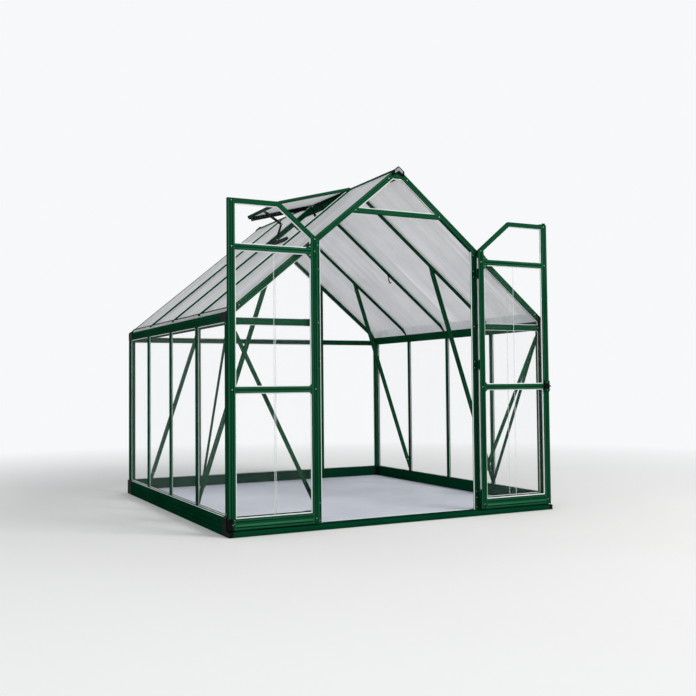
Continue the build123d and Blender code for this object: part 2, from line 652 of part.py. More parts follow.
def leaf_outline(start, end, low, drop=0.0):
    """Outline of a strip of the leaf under its head lowered by a distance."""
    slant = drop / COS_ROOF
    bend = FLAT_AT + drop * (1 - COS_ROOF) / SIN_ROOF
    points = [(start, low), (end, low)]
    if end > bend:
        points += [(end, LEAF_TOP - drop), (max(start, bend), LEAF_TOP - drop)]
    else:
        points.append((end, leaf_top(end) - slant))
    if start < bend:
        points.append((start, roof_z(HINGE_X - start, HEAD_DROP) - slant))
    return [(HINGE_X + u, z) for u, z in points]


LEAF_Y = (LEAF_FRONT, LEAF_BACK)
LEAF_SLOT = LEAF_T / 2


def leaf_section(x, edge_in, edge_out):
    """Outline of a stile in X and Y, grooved on both faces, with a pane slot where asked."""
    (x0, x1), width = x, x[1] - x[0]
    marks = (width * 0.3, width * 0.62)
    return (edge((x0, LEAF_FRONT), (x1, LEAF_FRONT), grooves=marks)
            + edge((x1, LEAF_FRONT), (x1, LEAF_BACK), slots=(LEAF_SLOT,) if edge_out else ())
            + edge((x1, LEAF_BACK), (x0, LEAF_BACK), grooves=marks)
            + edge((x0, LEAF_BACK), (x0, LEAF_FRONT), slots=(LEAF_SLOT,) if edge_in else ()))


with BuildPart() as right_stiles:
    along_z((LEAF_Z, LEAF_TOP), leaf_section((HINGE_X + LEAF_IN, HINGE_X + PANE_IN), False, True))
    along_z((LEAF_Z, LEAF_TOP), leaf_section((HINGE_X + PANE_OUT, HINGE_X + LEAF_EDGE), True, False))
    along_y(LEAF_Y, leaf_outline(LEAF_IN, LEAF_EDGE, LEAF_Z), mode=Mode.INTERSECT)
left_stiles = left_of(right_stiles)


def leaf_rail(low, height, grooves, slot_below):
    """A level rail of the right leaf."""
    high = low + height
    slots = (LEAF_SLOT,)
    along_x((HINGE_X + PANE_IN, HINGE_X + PANE_OUT),
            edge((LEAF_FRONT, low), (LEAF_BACK, low), slots=slots if slot_below else ())
            + edge((LEAF_BACK, low), (LEAF_BACK, high), grooves=grooves)
            + edge((LEAF_BACK, high), (LEAF_FRONT, high), slots=slots)
            + edge((LEAF_FRONT, high), (LEAF_FRONT, low), grooves=[height - g for g in grooves]))


def rail_ears(low, leg):
    """Brackets at the hinge end of a rail, above and below it."""
    front = (LEAF_FRONT, LEAF_MID[0] - SLOT_PLAY)
    ear(HINGE_X + PANE_IN, low, 1, -1, leg, front)
    ear(HINGE_X + PANE_IN, low + RAIL_H, 1, 1, leg, front)


with BuildPart() as level_rails:
    leaf_rail(LEAF_Z, BOTTOM_RAIL, (BOTTOM_RAIL * 0.25, BOTTOM_RAIL * 0.5, BOTTOM_RAIL * 0.75), False)
    for low, leg in ((MID_RAIL_Z, MID_GUSSET), (HIGH_RAIL_Z, LEAF_GUSSET)):
        leaf_rail(low, RAIL_H, (RAIL_H / 2,), True)
        rail_ears(low, leg)

with BuildPart() as head_rail:
    along_y(LEAF_Y, leaf_outline(PANE_IN, PANE_OUT, HIGH_RAIL_Z + RAIL_H))
    along_y(LEAF_Y, leaf_outline(PANE_IN, PANE_OUT, HIGH_RAIL_Z + RAIL_H, HEAD_RAIL), mode=Mode.SUBTRACT)
    slot_y = (LEAF_MID[0] - SLOT_PLAY, LEAF_MID[1] + SLOT_PLAY)
    along_y(slot_y, leaf_outline(PANE_IN, PANE_OUT, HIGH_RAIL_Z + RAIL_H, HEAD_RAIL - SLOT),
            mode=Mode.SUBTRACT)

with BuildPart() as right_rails:
    add(level_rails.part)
    add(head_rail.part)
left_rails = left_of(right_rails)

with BuildPart() as right_panels:
    a, b = PANE_IN - BITE, PANE_OUT + BITE
    block((HINGE_X + a, HINGE_X + b), LEAF_MID, (LEAF_Z + BOTTOM_RAIL - BITE, MID_RAIL_Z + BITE))
    block((HINGE_X + a, HINGE_X + b), LEAF_MID, (MID_RAIL_Z + RAIL_H - BITE, HIGH_RAIL_Z + BITE))
    along_y(LEAF_MID, leaf_outline(a, b, HIGH_RAIL_Z + RAIL_H - BITE, HEAD_RAIL - BITE))
left_panels = left_of(right_panels)

# Hinges: the post carries the middle knuckle and the pin
with BuildPart() as right_knuckles:
    for z in HINGE_Z:
        for way in (-1, 1):
            middle = z + way * (KNUCKLE + KNUCKLE_GAP)
            span = (middle - KNUCKLE / 2, middle + KNUCKLE / 2)
            with Locations((HINGE_X, AXIS_Y, middle)):
                Cylinder(BARREL_R, KNUCKLE)
            block((HINGE_X, HINGE_X + LEAF_IN), (AXIS_Y - ARM_T / 2, AXIS_Y + ARM_T / 2), span)
            with Locations((HINGE_X, AXIS_Y, middle)):
                Cylinder(PIN_R + PIN_PLAY, KNUCKLE, mode=Mode.SUBTRACT)
left_knuckles = left_of(right_knuckles)

with BuildPart() as right_post_hinges:
    for z in HINGE_Z:
        with Locations((HINGE_X, AXIS_Y, z)):
            Cylinder(BARREL_R, KNUCKLE)
            Cylinder(PIN_R, 3 * KNUCKLE + 4 * KNUCKLE_GAP)
        block((HINGE_X - ARM_T / 2, HINGE_X + ARM_T / 2), (AXIS_Y, FRONT_Y - PLATE_T),
              (z - KNUCKLE / 2, z + KNUCKLE / 2))
        block((DOORWAY_HALF + ARM_T, HINGE_X + ARM_T / 2), (FRONT_Y - PLATE_T, FRONT_Y),
              (z - PLATE_H / 2, z + PLATE_H / 2))
post_hinges = both_sides(right_post_hinges)

# Lock and lever on the right leaf
LOCK_X = (HINGE_X + PANE_OUT, HINGE_X + LEAF_EDGE)
with BuildPart() as lock_case:
    block(LOCK_X, (LEAF_FRONT - LOCK_T, LEAF_FRONT), (LEVER_Z - LOCK_H / 2, LEVER_Z + LOCK_H / 2))
    fillet(edges().group_by(Axis.Y)[0], LOCK_ROUND)

LEVER_X = HINGE_X + LEAF_EDGE - LEVER_IN
HUB_Y = LEAF_FRONT - LOCK_T - LEVER_PLAY
with BuildPart() as lever:
    with BuildSketch(Plane.XZ.offset(-HUB_Y)) as hub:
        with Locations((LEVER_X, LEVER_Z)):
            Circle(HUB_R)
    extrude(hub.sketch, amount=HUB_L)
    with BuildSketch(Plane.XZ.offset(-HUB_Y + HUB_L - LEVER_T)) as grip:
        with BuildLine():
            end = HINGE_X + LEAF_EDGE - LEVER_END - LEVER_TIP / 2
            Line((LEVER_X, LEVER_Z - LEVER_W / 2), (end, LEVER_Z - LEVER_TIP / 2))
            RadiusArc((end, LEVER_Z - LEVER_TIP / 2), (end, LEVER_Z + LEVER_TIP / 2), -LEVER_TIP / 2)
            Line((end, LEVER_Z + LEVER_TIP / 2), (LEVER_X, LEVER_Z + LEVER_W / 2))
            Line((LEVER_X, LEVER_Z + LEVER_W / 2), (LEVER_X, LEVER_Z - LEVER_W / 2))
        make_face()
    extrude(grip.sketch, amount=LEVER_T)

NODES = {
    "front_kerb": front_kerb, "front_sills": front_sills, "side_sills": side_sills,
    "rear_sill": rear_sill, "corner_caps": corner_caps, "floor": floor,
    "corner_posts": corner_posts, "left_studs": left_studs, "right_studs": right_studs,
    "eave_rails": eave_rails, "eave_caps": eave_caps, "ridge_beam": ridge_beam,
    "ridge_caps": ridge_caps, "front_rakes": front_rakes, "rear_rakes": rear_rakes,
    "left_rafters": left_rafters, "right_rafters": right_rafters, "door_posts": door_posts,
    "door_header": door_header, "front_transoms": front_transoms, "rear_transoms": rear_transoms,
    "rear_mullions": rear_mullions, "left_wall_panels": left_wall_panels,
    "right_wall_panels": right_wall_panels, "front_panels": front_panels,
    "gable_panel": gable_panel, "rear_panels": rear_panels, 
    "left_roof_panels": left_roof_panels, "right_roof_panels": right_roof_panels,
    "vent_sill": vent_sill, "vent_flap": vent_flap, "vent_sheet": vent_sheet,
    "stay_foot": stay_foot, "vent_stay": vent_stay, "tie_bars": tie_bars,
    "side_braces": side_braces, "front_braces": front_braces, 
    "post_hinges": post_hinges, "left_stiles": left_stiles, "left_rails": left_rails,
    "left_panels": left_panels, "left_knuckles": left_knuckles, "right_stiles": right_stiles,
    "right_rails": right_rails, "right_panels": right_panels, "right_knuckles": right_knuckles,
    "lock_case": lock_case, "lever": lever,
}

os.makedirs("parts", exist_ok=True)
for name, node in NODES.items():
    node.part.label = name
    export_step(node.part, f"parts/{name}.step")
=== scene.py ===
"""Dresses the glass greenhouse: finishes for every node, glazing strips, seals, screws, camera and light."""

import json
import logging
import math
from dataclasses import dataclass, field
from enum import Enum
from typing import Iterable, Sequence

import bmesh
import bpy
from mathutils import Matrix, Vector


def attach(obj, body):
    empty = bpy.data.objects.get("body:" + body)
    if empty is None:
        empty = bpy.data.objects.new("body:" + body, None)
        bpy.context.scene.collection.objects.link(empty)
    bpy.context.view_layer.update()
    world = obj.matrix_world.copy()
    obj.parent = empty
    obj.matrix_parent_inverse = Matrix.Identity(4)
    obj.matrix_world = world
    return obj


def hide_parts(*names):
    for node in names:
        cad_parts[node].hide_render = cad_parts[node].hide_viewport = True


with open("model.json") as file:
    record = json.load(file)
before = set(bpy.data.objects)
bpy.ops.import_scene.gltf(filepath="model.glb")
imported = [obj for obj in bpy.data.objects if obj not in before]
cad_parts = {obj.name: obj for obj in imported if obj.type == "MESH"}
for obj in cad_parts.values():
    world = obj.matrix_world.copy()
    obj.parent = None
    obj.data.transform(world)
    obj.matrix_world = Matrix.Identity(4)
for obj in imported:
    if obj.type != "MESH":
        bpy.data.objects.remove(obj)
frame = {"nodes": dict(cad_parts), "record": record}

LOG = logging.getLogger("greenhouse")
Point2 = tuple[float, float]
Point3 = tuple[float, float, float]
Colour = tuple[float, float, float]
Outline = Sequence[Point2]
Material = bpy.types.Material
Node = bpy.types.Node
Socket = bpy.types.NodeSocket

SEAT = 0.0002                 # how far a piece of trim reaches into what carries it
FRONTWARD = (0, -1, 0)
REARWARD = (0, 1, 0)


class Body(Enum):
    """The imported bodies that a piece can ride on."""

    FRAME = "frame"
    LEFT_LEAF = "left_leaf"
    RIGHT_LEAF = "right_leaf"
    LEVER = "lever"


class Slot(Enum):
    """The record's material slots."""

    FRAME_PAINT = "frame_paint"
    BASE_PAINT = "base_paint"
    BLACK_PLASTIC = "black_plastic"
    HINGE_METAL = "hinge_metal"
    CLEAR_SHEET = "clear_sheet"
    ROOF_SHEET = "roof_sheet"
    FLOOR_SLAB = "floor_slab"


class Side(Enum):
    """Left or right half of the building, as the sign of X."""

    LEFT = -1.0
    RIGHT = 1.0

    @property
    def word(self) -> str:
        """The side's name, as pieces carry it."""
        return self.name.lower()

    @property
    def leaf(self) -> Body:
        """The body of the door leaf on this side."""
        return Body.LEFT_LEAF if self is Side.LEFT else Body.RIGHT_LEAF


class End(Enum):
    """Front or rear wall, as the sign of its outward direction along Y."""

    FRONT = -1.0
    REAR = 1.0


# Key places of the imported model, in metres

@dataclass(frozen=True)
class Plan:
    """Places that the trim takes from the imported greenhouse."""

    front: float = -1.241
    rear: float = 1.285
    side: float = 1.210
    eave_in: float = 1.166
    sill_out: float = 0.010
    sill_top: float = 0.112
    kerb_top: float = 0.032
    eave_bottom: float = 1.302
    eave_top: float = 1.356
    apex: float = 2.358
    post: float = 0.044
    stud_half: float = 0.016
    stud_in: float = 1.190
    stud_out: float = 1.2085
    packed_stud_in: float = 1.180
    studs: Point3 = (-0.6095, 0.022, 0.6535)
    rafter_half: float = 0.0105
    rafter_deep: float = 0.028
    rake: float = 0.034
    pane_in: float = 0.012
    pane_thick: float = 0.004
    door_post: Point2 = (0.586, 0.612)
    mullion: Point2 = (0.585, 0.615)
    header: Point2 = (2.032, 2.062)
    transom: Point2 = (1.286, 1.319)
    leaf: Point2 = (0.617, 1.216)
    leaf_pane: Point2 = (0.661, 1.170)
    leaf_y: Point2 = (-1.279, -1.257)
    leaf_low: float = 0.040
    bottom_rail: float = 0.106
    mid_rail: Point2 = (0.864, 0.898)
    high_rail: Point2 = (1.7347, 1.7687)
    leaf_top: float = 2.048
    head_rail: float = 0.029
    head_drop: float = 0.020
    hinge: float = 0.610
    hinges: Point3 = (0.140, 1.035, 1.668)
    lock_thick: float = 0.012
    lever: Point2 = (-1.3074, 0.882)
    ridge_half: float = 0.034
    ridge_deep: float = 0.072
    ridge_cap: float = 0.012
    vent_low: float = 0.506
    vent_lift: float = 0.436
    vent_length: float = 0.582
    vent_bar: float = 0.024
    vent_lap: float = 0.008
    stay_y: float = -0.29375

    @property
    def fall(self) -> float:
        """Fall of the roof per unit of width."""
        return (self.apex - self.eave_top) / self.side

    @property
    def cosine(self) -> float:
        """Cosine of the roof's pitch."""
        return 1.0 / math.sqrt(1.0 + self.fall ** 2)

    @property
    def sine(self) -> float:
        """Sine of the roof's pitch."""
        return self.fall * self.cosine

    @property
    def leaf_middle(self) -> float:
        """Y of the middle of the open leaves' thickness."""
        return sum(self.leaf_y) / 2

    @property
    def outer_studs(self) -> Point2:
        """Y of the studs that carry tie bars."""
        return self.studs[0], self.studs[2]

    def roof_z(self, x: float, below: float = 0.0) -> float:
        """Height of the roof plane over X, less a distance square to the slope."""
        return self.apex - self.fall * abs(x) - below / self.cosine

    def head_z(self, x: float, below: float = 0.0) -> float:
        """Height of a leaf's head over X, less a distance square to it."""
        closed = 2 * self.hinge - abs(x)
        return min(self.leaf_top - below, self.roof_z(closed, self.head_drop + below))

    def bays(self, half: float, edge: float) -> list[Point2]:
        """Openings between the bars along the building.

        Args:
            half: Half the width of a bar.
            edge: Depth of the bars at both ends.

        Returns:
            Pairs of Y from front to rear.
        """
        faces = [self.front + edge]
        for stud in self.studs:
            faces += [stud - half, stud + half]
        faces.append(self.rear - edge)
        return list(zip(faces[0::2], faces[1::2]))


PLAN = Plan()


@dataclass(frozen=True)
class Face:
    """A flat working plane: an origin and three axes, the last one outward."""

    origin: Vector
    across: Vector
    up: Vector
    out: Vector

    def at(self, u: float, v: float, w: float = 0.0) -> Vector:
        """Point at u across, v up and w out of the plane."""
        return self.origin + self.across * u + self.up * v + self.out * w

    def raised(self, height: float) -> "Face":
        """The same plane moved outward."""
        return Face(self.at(0, 0, height), self.across, self.up, self.out)

    @classmethod
    def of(cls, *places: Point3) -> "Face":
        """Plane from its origin and axes, given as numbers."""
        return cls(*(Vector(place) for place in places))

    @classmethod
    def end_wall(cls, y: float, end: End = End.FRONT) -> "Face":
        """Plane of a front or rear wall at the given Y."""
        return cls.of((0, y, 0), (1, 0, 0), (0, 0, 1), (0, end.value, 0))

    @classmethod
    def side_wall(cls, x: float, side: Side) -> "Face":
        """Plane of a side wall at the given distance from the middle."""
        return cls.of((side.value * x, 0, 0), (0, 1, 0), (0, 0, 1), (side.value, 0, 0))

    @classmethod
    def slope(cls, side: Side) -> "Face":
        """Plane of a roof slope: u along Y, v down the slope from the apex.

        Args:
            side: Which slope.

        Returns:
            The plane of its outer face.
        """
        s = side.value
        return cls.of((0, 0, PLAN.apex), (0, 1, 0), (s * PLAN.cosine, 0, -PLAN.sine),
                      (s * PLAN.sine, 0, PLAN.cosine))

    @classmethod
    def flap(cls) -> "Face":
        """Underside of the open vent flap: u along Y, v from its hinge to its free edge.

        Returns:
            The plane of the underside.
        """
        tilt = math.atan(PLAN.fall) - PLAN.vent_lift
        return cls.of((-PLAN.ridge_half, 0, PLAN.roof_z(PLAN.ridge_half)), (0, 1, 0),
                      (-math.cos(tilt), 0, -math.sin(tilt)), (-math.sin(tilt), 0, math.cos(tilt)))

    @classmethod
    def plan(cls, side: Side) -> "Face":
        """Level plane: u along Y, v outward to one side."""
        return cls.of((0, 0, 0), (0, 1, 0), (side.value, 0, 0), (0, 0, 1))

    @classmethod
    def section(cls, side: Side) -> "Face":
        """Upright cross-section: u outward to one side, v upward."""
        return cls.of((0, 0, 0), (side.value, 0, 0), (0, 0, 1), (0, 1, 0))

    @classmethod
    def rake(cls, side: Side) -> "Face":
        """Front face of a rake: u down the slope from the apex, v square to the slope.

        Args:
            side: Which slope the rake follows.

        Returns:
            The plane of its front face.
        """
        s = side.value
        return cls.of((0, PLAN.front, PLAN.apex), (s * PLAN.cosine, 0, -PLAN.sine),
                      (s * PLAN.sine, 0, PLAN.cosine), FRONTWARD)


def oblong(across: Point2, along: Point2) -> list[Point2]:
    """Corners of a rectangle, anticlockwise from the lowest."""
    return [(across[0], along[0]), (across[1], along[0]), (across[1], along[1]), (across[0], along[1])]


def mirrored(outline: Outline) -> list[Point2]:
    """The outline on the other side of the middle, still anticlockwise."""
    return [(-u, v) for u, v in reversed(outline)]


def within(span: Point2, shares: Iterable[float]) -> list[float]:
    """Places at the given shares of a span."""
    return [span[0] + (span[1] - span[0]) * share for share in shares]


def inset(outline: Outline, width: float) -> list[Point2]:
    """Move every edge of a convex anticlockwise outline inward.

    Args:
        outline: The corners.
        width: Distance to move.

    Returns:
        The corners of the smaller outline.
    """
    result = []
    for i, here in enumerate(outline):
        before, after = outline[i - 1], outline[(i + 1) % len(outline)]
        first = Vector((here[0] - before[0], here[1] - before[1])).normalized()
        second = Vector((after[0] - here[0], after[1] - here[1])).normalized()
        normal_a, normal_b = Vector((-first.y, first.x)), Vector((-second.y, second.x))
        shift = (normal_a + normal_b) * (width / (1.0 + normal_a.dot(normal_b)))
        result.append((here[0] + shift.x, here[1] + shift.y))
    return result


# Finishes

class Sheet:
    """The node tree of a material or the world, with short calls for the nodes that finishes share."""

    def __init__(self, owner: Material | bpy.types.World, output: str = "ShaderNodeOutputMaterial") -> None:
        """Empty the owner's tree and give it an output.

        Args:
            owner: The material or world.
            output: Type of its output node.
        """
        owner.use_nodes = True
        self.tree = owner.node_tree
        self.tree.nodes.clear()
        self.output = self.node(output)

    def node(self, kind: str, inputs: dict[str | int, object] | None = None, operation: str = "") -> Node:
        """Add a node.

        Args:
            kind: Type of the node.
            inputs: Sockets to link or values to set, by the input's name or number.
            operation: What it does, for a node that has a choice.

        Returns:
            The new node.
        """
        made = self.tree.nodes.new(kind)
        if operation:
            made.operation = operation
        for name, value in (inputs or {}).items():
            if isinstance(value, Socket):
                self.tree.links.new(value, made.inputs[name])
            else:
                made.inputs[name].default_value = value
        return made

    def show(self, shader: Socket) -> None:
        """Join a shader to the output."""
        self.tree.links.new(shader, self.output.inputs["Surface"])

    def mix(self, share: Socket | float, first: Socket, second: Socket) -> None:
        """Show two shaders mixed by the second one's share."""
        self.show(self.node("ShaderNodeMixShader", {"Fac": share, 1: first, 2: second}).outputs["Shader"])

    def place(self, stretch: Point3 = (1.0, 1.0, 1.0)) -> Socket:
        """Object coordinates, stretched along the axes."""
        spot = self.node("ShaderNodeTexCoord").outputs["Object"]
        return self.node("ShaderNodeMapping", {"Scale": stretch, "Vector": spot}).outputs["Vector"]

    def noise(self, scale: float, detail: float, stretch: Point3 = (1.0, 1.0, 1.0)) -> Socket:
        """Noise in object space, in cells a metre and octaves."""
        inputs = {"Scale": scale, "Detail": detail, "Vector": self.place(stretch)}
        return self.node("ShaderNodeTexNoise", inputs).outputs["Fac"]

    def ramp(self, value: Socket, stops: Sequence[tuple[float, Colour]]) -> Socket:
        """Colour from a value.

        Args:
            value: The driving socket.
            stops: Positions and linear colours.

        Returns:
            The colour socket.
        """
        made = self.node("ShaderNodeValToRGB", {"Fac": value})
        elements = made.color_ramp.elements
        while len(elements) < len(stops):
            elements.new(0.5)
        for element, (position, colour) in zip(elements, stops):
            element.position = position
            element.color = (*colour, 1.0)
        return made.outputs["Color"]

    def span(self, value: Socket, source: Point2, target: Point2) -> Socket:
        """Map a value from one range to another, clamped.

        Args:
            value: The socket to map.
            source: Range read.
            target: Range given.

        Returns:
            The result socket.
        """
        inputs = {"Value": value, "From Min": source[0], "From Max": source[1],
                  "To Min": target[0], "To Max": target[1]}
        return self.node("ShaderNodeMapRange", inputs).outputs["Result"]

    def uneven(self, noise: Point2, limits: Point2) -> Socket:
        """A roughness that wanders between two limits with a noise."""
        return self.span(self.noise(*noise), (0.3, 0.7), limits)

    def maths(self, operation: str, first: Socket, second: Socket | float) -> Socket:
        """Join two values by a maths operation."""
        return self.node("ShaderNodeMath", {0: first, 1: second}, operation).outputs["Value"]

    def bump(self, height: Socket, strength: float, distance: float) -> Socket:
        """Surface normal bent by a height, in metres at 1."""
        inputs = {"Strength": strength, "Distance": distance, "Height": height}
        return self.node("ShaderNodeBump", inputs).outputs["Normal"]

    def seen(self) -> Socket:
        """Tell the rays that show a thing from those that only carry light.

        Returns:
            A socket that is 1 for rays of the camera, a reflection or a refraction.
        """
        path = self.node("ShaderNodeLightPath").outputs
        direct = self.maths("MAXIMUM", path["Is Camera Ray"], path["Is Glossy Ray"])
        return self.maths("MAXIMUM", direct, path["Is Transmission Ray"])

    def surface(self, colour: Socket, roughness: Socket, **more: object) -> Socket:
        """A principled surface, joined to the output.

        Args:
            colour: Base colour.
            roughness: Roughness.
            **more: Further inputs, with underscores for the spaces in their names.

        Returns:
            The shader socket.
        """
        inputs = {name.replace("_", " "): value for name, value in more.items()}
        made = self.node("ShaderNodeBsdfPrincipled", {"Base Color": colour, "Roughness": roughness, **inputs})
        self.show(made.outputs["BSDF"])
        return made.outputs["BSDF"]


@dataclass(frozen=True)
class Finish:
    """A named material whose nodes each kind of finish draws in its own way."""

    name: str

    def build(self) -> Material:
        """Make the material.

        Returns:
            The finished material.
        """
        made = bpy.data.materials.new(self.name)
        self.draw(Sheet(made))
        return made

    def draw(self, sheet: Sheet) -> None:
        """Draw the nodes."""
        raise NotImplementedError


@dataclass(frozen=True)
class Coat(Finish):
    """Opaque finish of two tones, uneven gloss and fine grain. Its noises are cells a metre and octaves."""

    deep: Colour
    bright: Colour
    gloss: Point2
    cloud: Point2
    stops: Point2
    wear: Point2
    grain: Point2
    relief: Point2
    metallic: float = 0.0
    specular: float = 0.5
    edge: Colour = (1.0, 1.0, 1.0)

    def height(self, sheet: Sheet, cloud: Socket) -> Socket:
        """Height of the grain, which may take in the tone's cloud."""
        return sheet.noise(*self.grain)

    def draw(self, sheet: Sheet) -> None:
        """Draw the nodes.

        Args:
            sheet: The tree to draw in.
        """
        cloud = sheet.noise(*self.cloud)
        tone = sheet.ramp(cloud, list(zip(self.stops, (self.deep, self.bright))))
        rough = sheet.uneven(self.wear, self.gloss)
        skin = sheet.bump(self.height(sheet, cloud), *self.relief)
        sheet.surface(tone, rough, Normal=skin, Metallic=self.metallic, Specular_IOR_Level=self.specular,
                      Specular_Tint=(*self.edge, 1.0))


@dataclass(frozen=True)
class PowderCoat(Coat):
    """Satin green powder coat with a fine skin and slow changes of tone."""

    name: str = "green powder coat"
    deep: Colour = (0.0040, 0.047, 0.0190)
    bright: Colour = (0.0072, 0.068, 0.0295)
    gloss: Point2 = (0.34, 0.46)
    cloud: Point2 = (2.4, 5.0)
    stops: Point2 = (0.30, 0.70)
    wear: Point2 = (9.0, 4.0)
    grain: Point2 = (700.0, 2.0)
    relief: Point2 = (0.12, 0.0004)
    metallic: float = 0.30
    specular: float = 0.0
    edge: Colour = (0.0, 0.004, 0.002)


@dataclass(frozen=True)
class MouldedPlastic(Coat):
    """Grained black plastic."""

    name: str = "black moulded plastic"
    deep: Colour = (0.0030, 0.0042, 0.0042)
    bright: Colour = (0.0070, 0.0090, 0.0090)
    gloss: Point2 = (0.42, 0.60)
    cloud: Point2 = (14.0, 5.0)
    stops: Point2 = (0.35, 0.68)
    wear: Point2 = (40.0, 3.0)
    grain: Point2 = (1400.0, 2.0)
    relief: Point2 = (0.25, 0.0003)
    specular: float = 0.02


@dataclass(frozen=True)
class PlatedSteel(Coat):
    """Bright zinc-plated metal of screws and pins."""

    name: str = "plated steel"
    deep: Colour = (0.20, 0.22, 0.21)
    bright: Colour = (0.42, 0.44, 0.43)
    gloss: Point2 = (0.24, 0.42)
    cloud: Point2 = (120.0, 4.0)
    stops: Point2 = (0.35, 0.70)
    wear: Point2 = (260.0, 3.0)
    grain: Point2 = (900.0, 2.0)
    relief: Point2 = (0.10, 0.0002)
    metallic: float = 1.0


@dataclass(frozen=True)
class EdgeStrip(Coat):
    """Pale strip that holds the sheets."""

    name: str = "pale glazing strip"
    deep: Colour = (0.74, 0.82, 0.80)
    bright: Colour = (0.90, 0.95, 0.94)
    gloss: Point2 = (0.18, 0.32)
    cloud: Point2 = (11.0, 4.0)
    stops: Point2 = (0.30, 0.65)
    wear: Point2 = (50.0, 2.0)
    grain: Point2 = (300.0, 2.0)
    relief: Point2 = (0.10, 0.0003)


@dataclass(frozen=True)
class SlabFloor(Coat):
    """Smooth pale blue-grey floor with soft clouds and faint pores."""

    name: str = "smooth floor slab"
    deep: Colour = (0.53, 0.56, 0.64)
    bright: Colour = (0.66, 0.68, 0.75)
    gloss: Point2 = (0.42, 0.62)
    cloud: Point2 = (1.6, 7.0)
    stops: Point2 = (0.30, 0.70)
    wear: Point2 = (7.0, 6.0)
    grain: Point2 = (420.0, 3.0)
    relief: Point2 = (0.20, 0.0006)
    specular: float = 0.25
    swell: float = 2.0

    def height(self, sheet: Sheet, cloud: Socket) -> Socket:
        """Pores on the swell of the clouds."""
        return sheet.maths("ADD", sheet.noise(*self.grain), sheet.maths("MULTIPLY", cloud, self.swell))


@dataclass(frozen=True)
class ClearGlazing(Finish):
    """Clear sheet: see-through face on, brighter at a glancing angle, with faint dust and waviness."""

    name: str = "clear glazing sheet"
    tint: Colour = (0.50, 0.62, 0.60)
    pale: Colour = (0.62, 0.72, 0.71)
    haze: float = 0.006
    glance: float = 0.050
    dusty: float = 0.005
    blend: float = 0.22

    def draw(self, sheet: Sheet) -> None:
        """Draw the nodes.

        Args:
            sheet: The tree to draw in.
        """
        tone = sheet.ramp(sheet.noise(1.3, 2.0), [(0.3, self.tint), (0.7, self.pale)])
        rough = sheet.uneven((3.0, 3.0), (0.03, 0.07))
        wave = sheet.bump(sheet.noise(2.2, 1.0), 0.06, 0.003)
        facing = sheet.node("ShaderNodeLayerWeight", {"Blend": self.blend}).outputs["Fresnel"]
        glance = sheet.span(facing, (0.04, 1.0), (self.haze, self.glance))
        dust = sheet.span(sheet.noise(7.0, 3.0), (0.40, 0.75), (0.0, self.dusty))
        sheet.surface(tone, rough, Normal=wave, Alpha=sheet.maths("ADD", glance, dust))


@dataclass(frozen=True)
class TwinWallGlazing(Finish):
    """Translucent twin-wall sheet: fine ribs down the slope, soft light bands and a milky body."""

    name: str = "twin-wall roof sheet"
    tones: tuple[Colour, Colour, Colour] = ((0.72, 0.72, 0.73), (0.88, 0.88, 0.89), (0.97, 0.97, 0.97))
    stops: Point3 = (0.32, 0.66, 0.85)
    weights: Point3 = (0.55, 0.15, 0.30)
    flash: float = 0.22
    rib: float = 0.02
    rib_pitch: float = 0.0065
    body: Point2 = (0.80, 0.90)
    glow: float = 0.45

    def draw(self, sheet: Sheet) -> None:
        """Draw the nodes: bands, streaks and clouds, sparse flashes, and a wave for the ribs.

        Args:
            sheet: The tree to draw in.
        """
        bands = sheet.noise(3.4, 2.0, (0.16, 1.5, 0.16))
        streaks = sheet.noise(46.0, 2.0, (0.02, 1.0, 0.02))
        along = sheet.node("ShaderNodeSeparateXYZ", {"Vector": sheet.place()}).outputs["Y"]
        rib = sheet.maths("SINE", sheet.maths("MULTIPLY", along, math.tau / self.rib_pitch), 0.0)
        cloud = sheet.noise(5.0, 4.0)
        band, streak, puff = (sheet.maths("MULTIPLY", value, weight)
                              for value, weight in zip((bands, streaks, cloud), self.weights))
        shade = sheet.maths("ADD", band, sheet.maths("ADD", streak, puff))
        flash = sheet.span(sheet.noise(15.0, 1.0, (0.03, 1.0, 0.03)), (0.66, 0.71), (0.0, self.flash))
        lined = sheet.maths("ADD", sheet.maths("ADD", shade, flash), sheet.maths("MULTIPLY", rib, self.rib))
        tone = sheet.ramp(lined, list(zip(self.stops, self.tones)))
        rough = sheet.span(streaks, (0.3, 0.7), (0.24, 0.38))
        skin = sheet.surface(tone, rough, Normal=sheet.bump(rib, 0.25, 0.0005), Specular_IOR_Level=0.3,
                             Alpha=sheet.span(lined, (0.3, 0.7), self.body))
        light = sheet.node("ShaderNodeBsdfTranslucent", {"Color": tone})
        sheet.mix(self.glow, skin, light.outputs["BSDF"])


@dataclass(frozen=True)
class StageGround(Finish):
    """Plain pale floor that fades into the white surroundings."""

    name: str = "stage floor"
    deep: Colour = (0.80, 0.80, 0.79)
    bright: Colour = (0.82, 0.82, 0.81)
    far: Colour = (0.93, 0.94, 0.95)
    fade: Point2 = (2.4, 7.0)

    def draw(self, sheet: Sheet) -> None:
        """Draw the nodes.

        Args:
            sheet: The tree to draw in.
        """
        tone = sheet.ramp(sheet.noise(0.6, 3.0), [(0.3, self.deep), (0.7, self.bright)])
        skin = sheet.surface(tone, sheet.uneven((3.0, 2.0), (0.85, 0.95)), Specular_IOR_Level=0.1)
        reach = sheet.node("ShaderNodeVectorMath", {0: sheet.place()}, "LENGTH").outputs["Value"]
        white = sheet.node("ShaderNodeEmission", {"Color": (*self.far, 1.0)}).outputs["Emission"]
        seen = sheet.seen()
        sheet.mix(sheet.maths("MULTIPLY", sheet.span(reach, self.fade, (0.0, 1.0)), seen), skin, white)


@dataclass(frozen=True)
class Dressing:
    """A material and the record's slot that it stands in."""

    material: Material
    slot: Slot


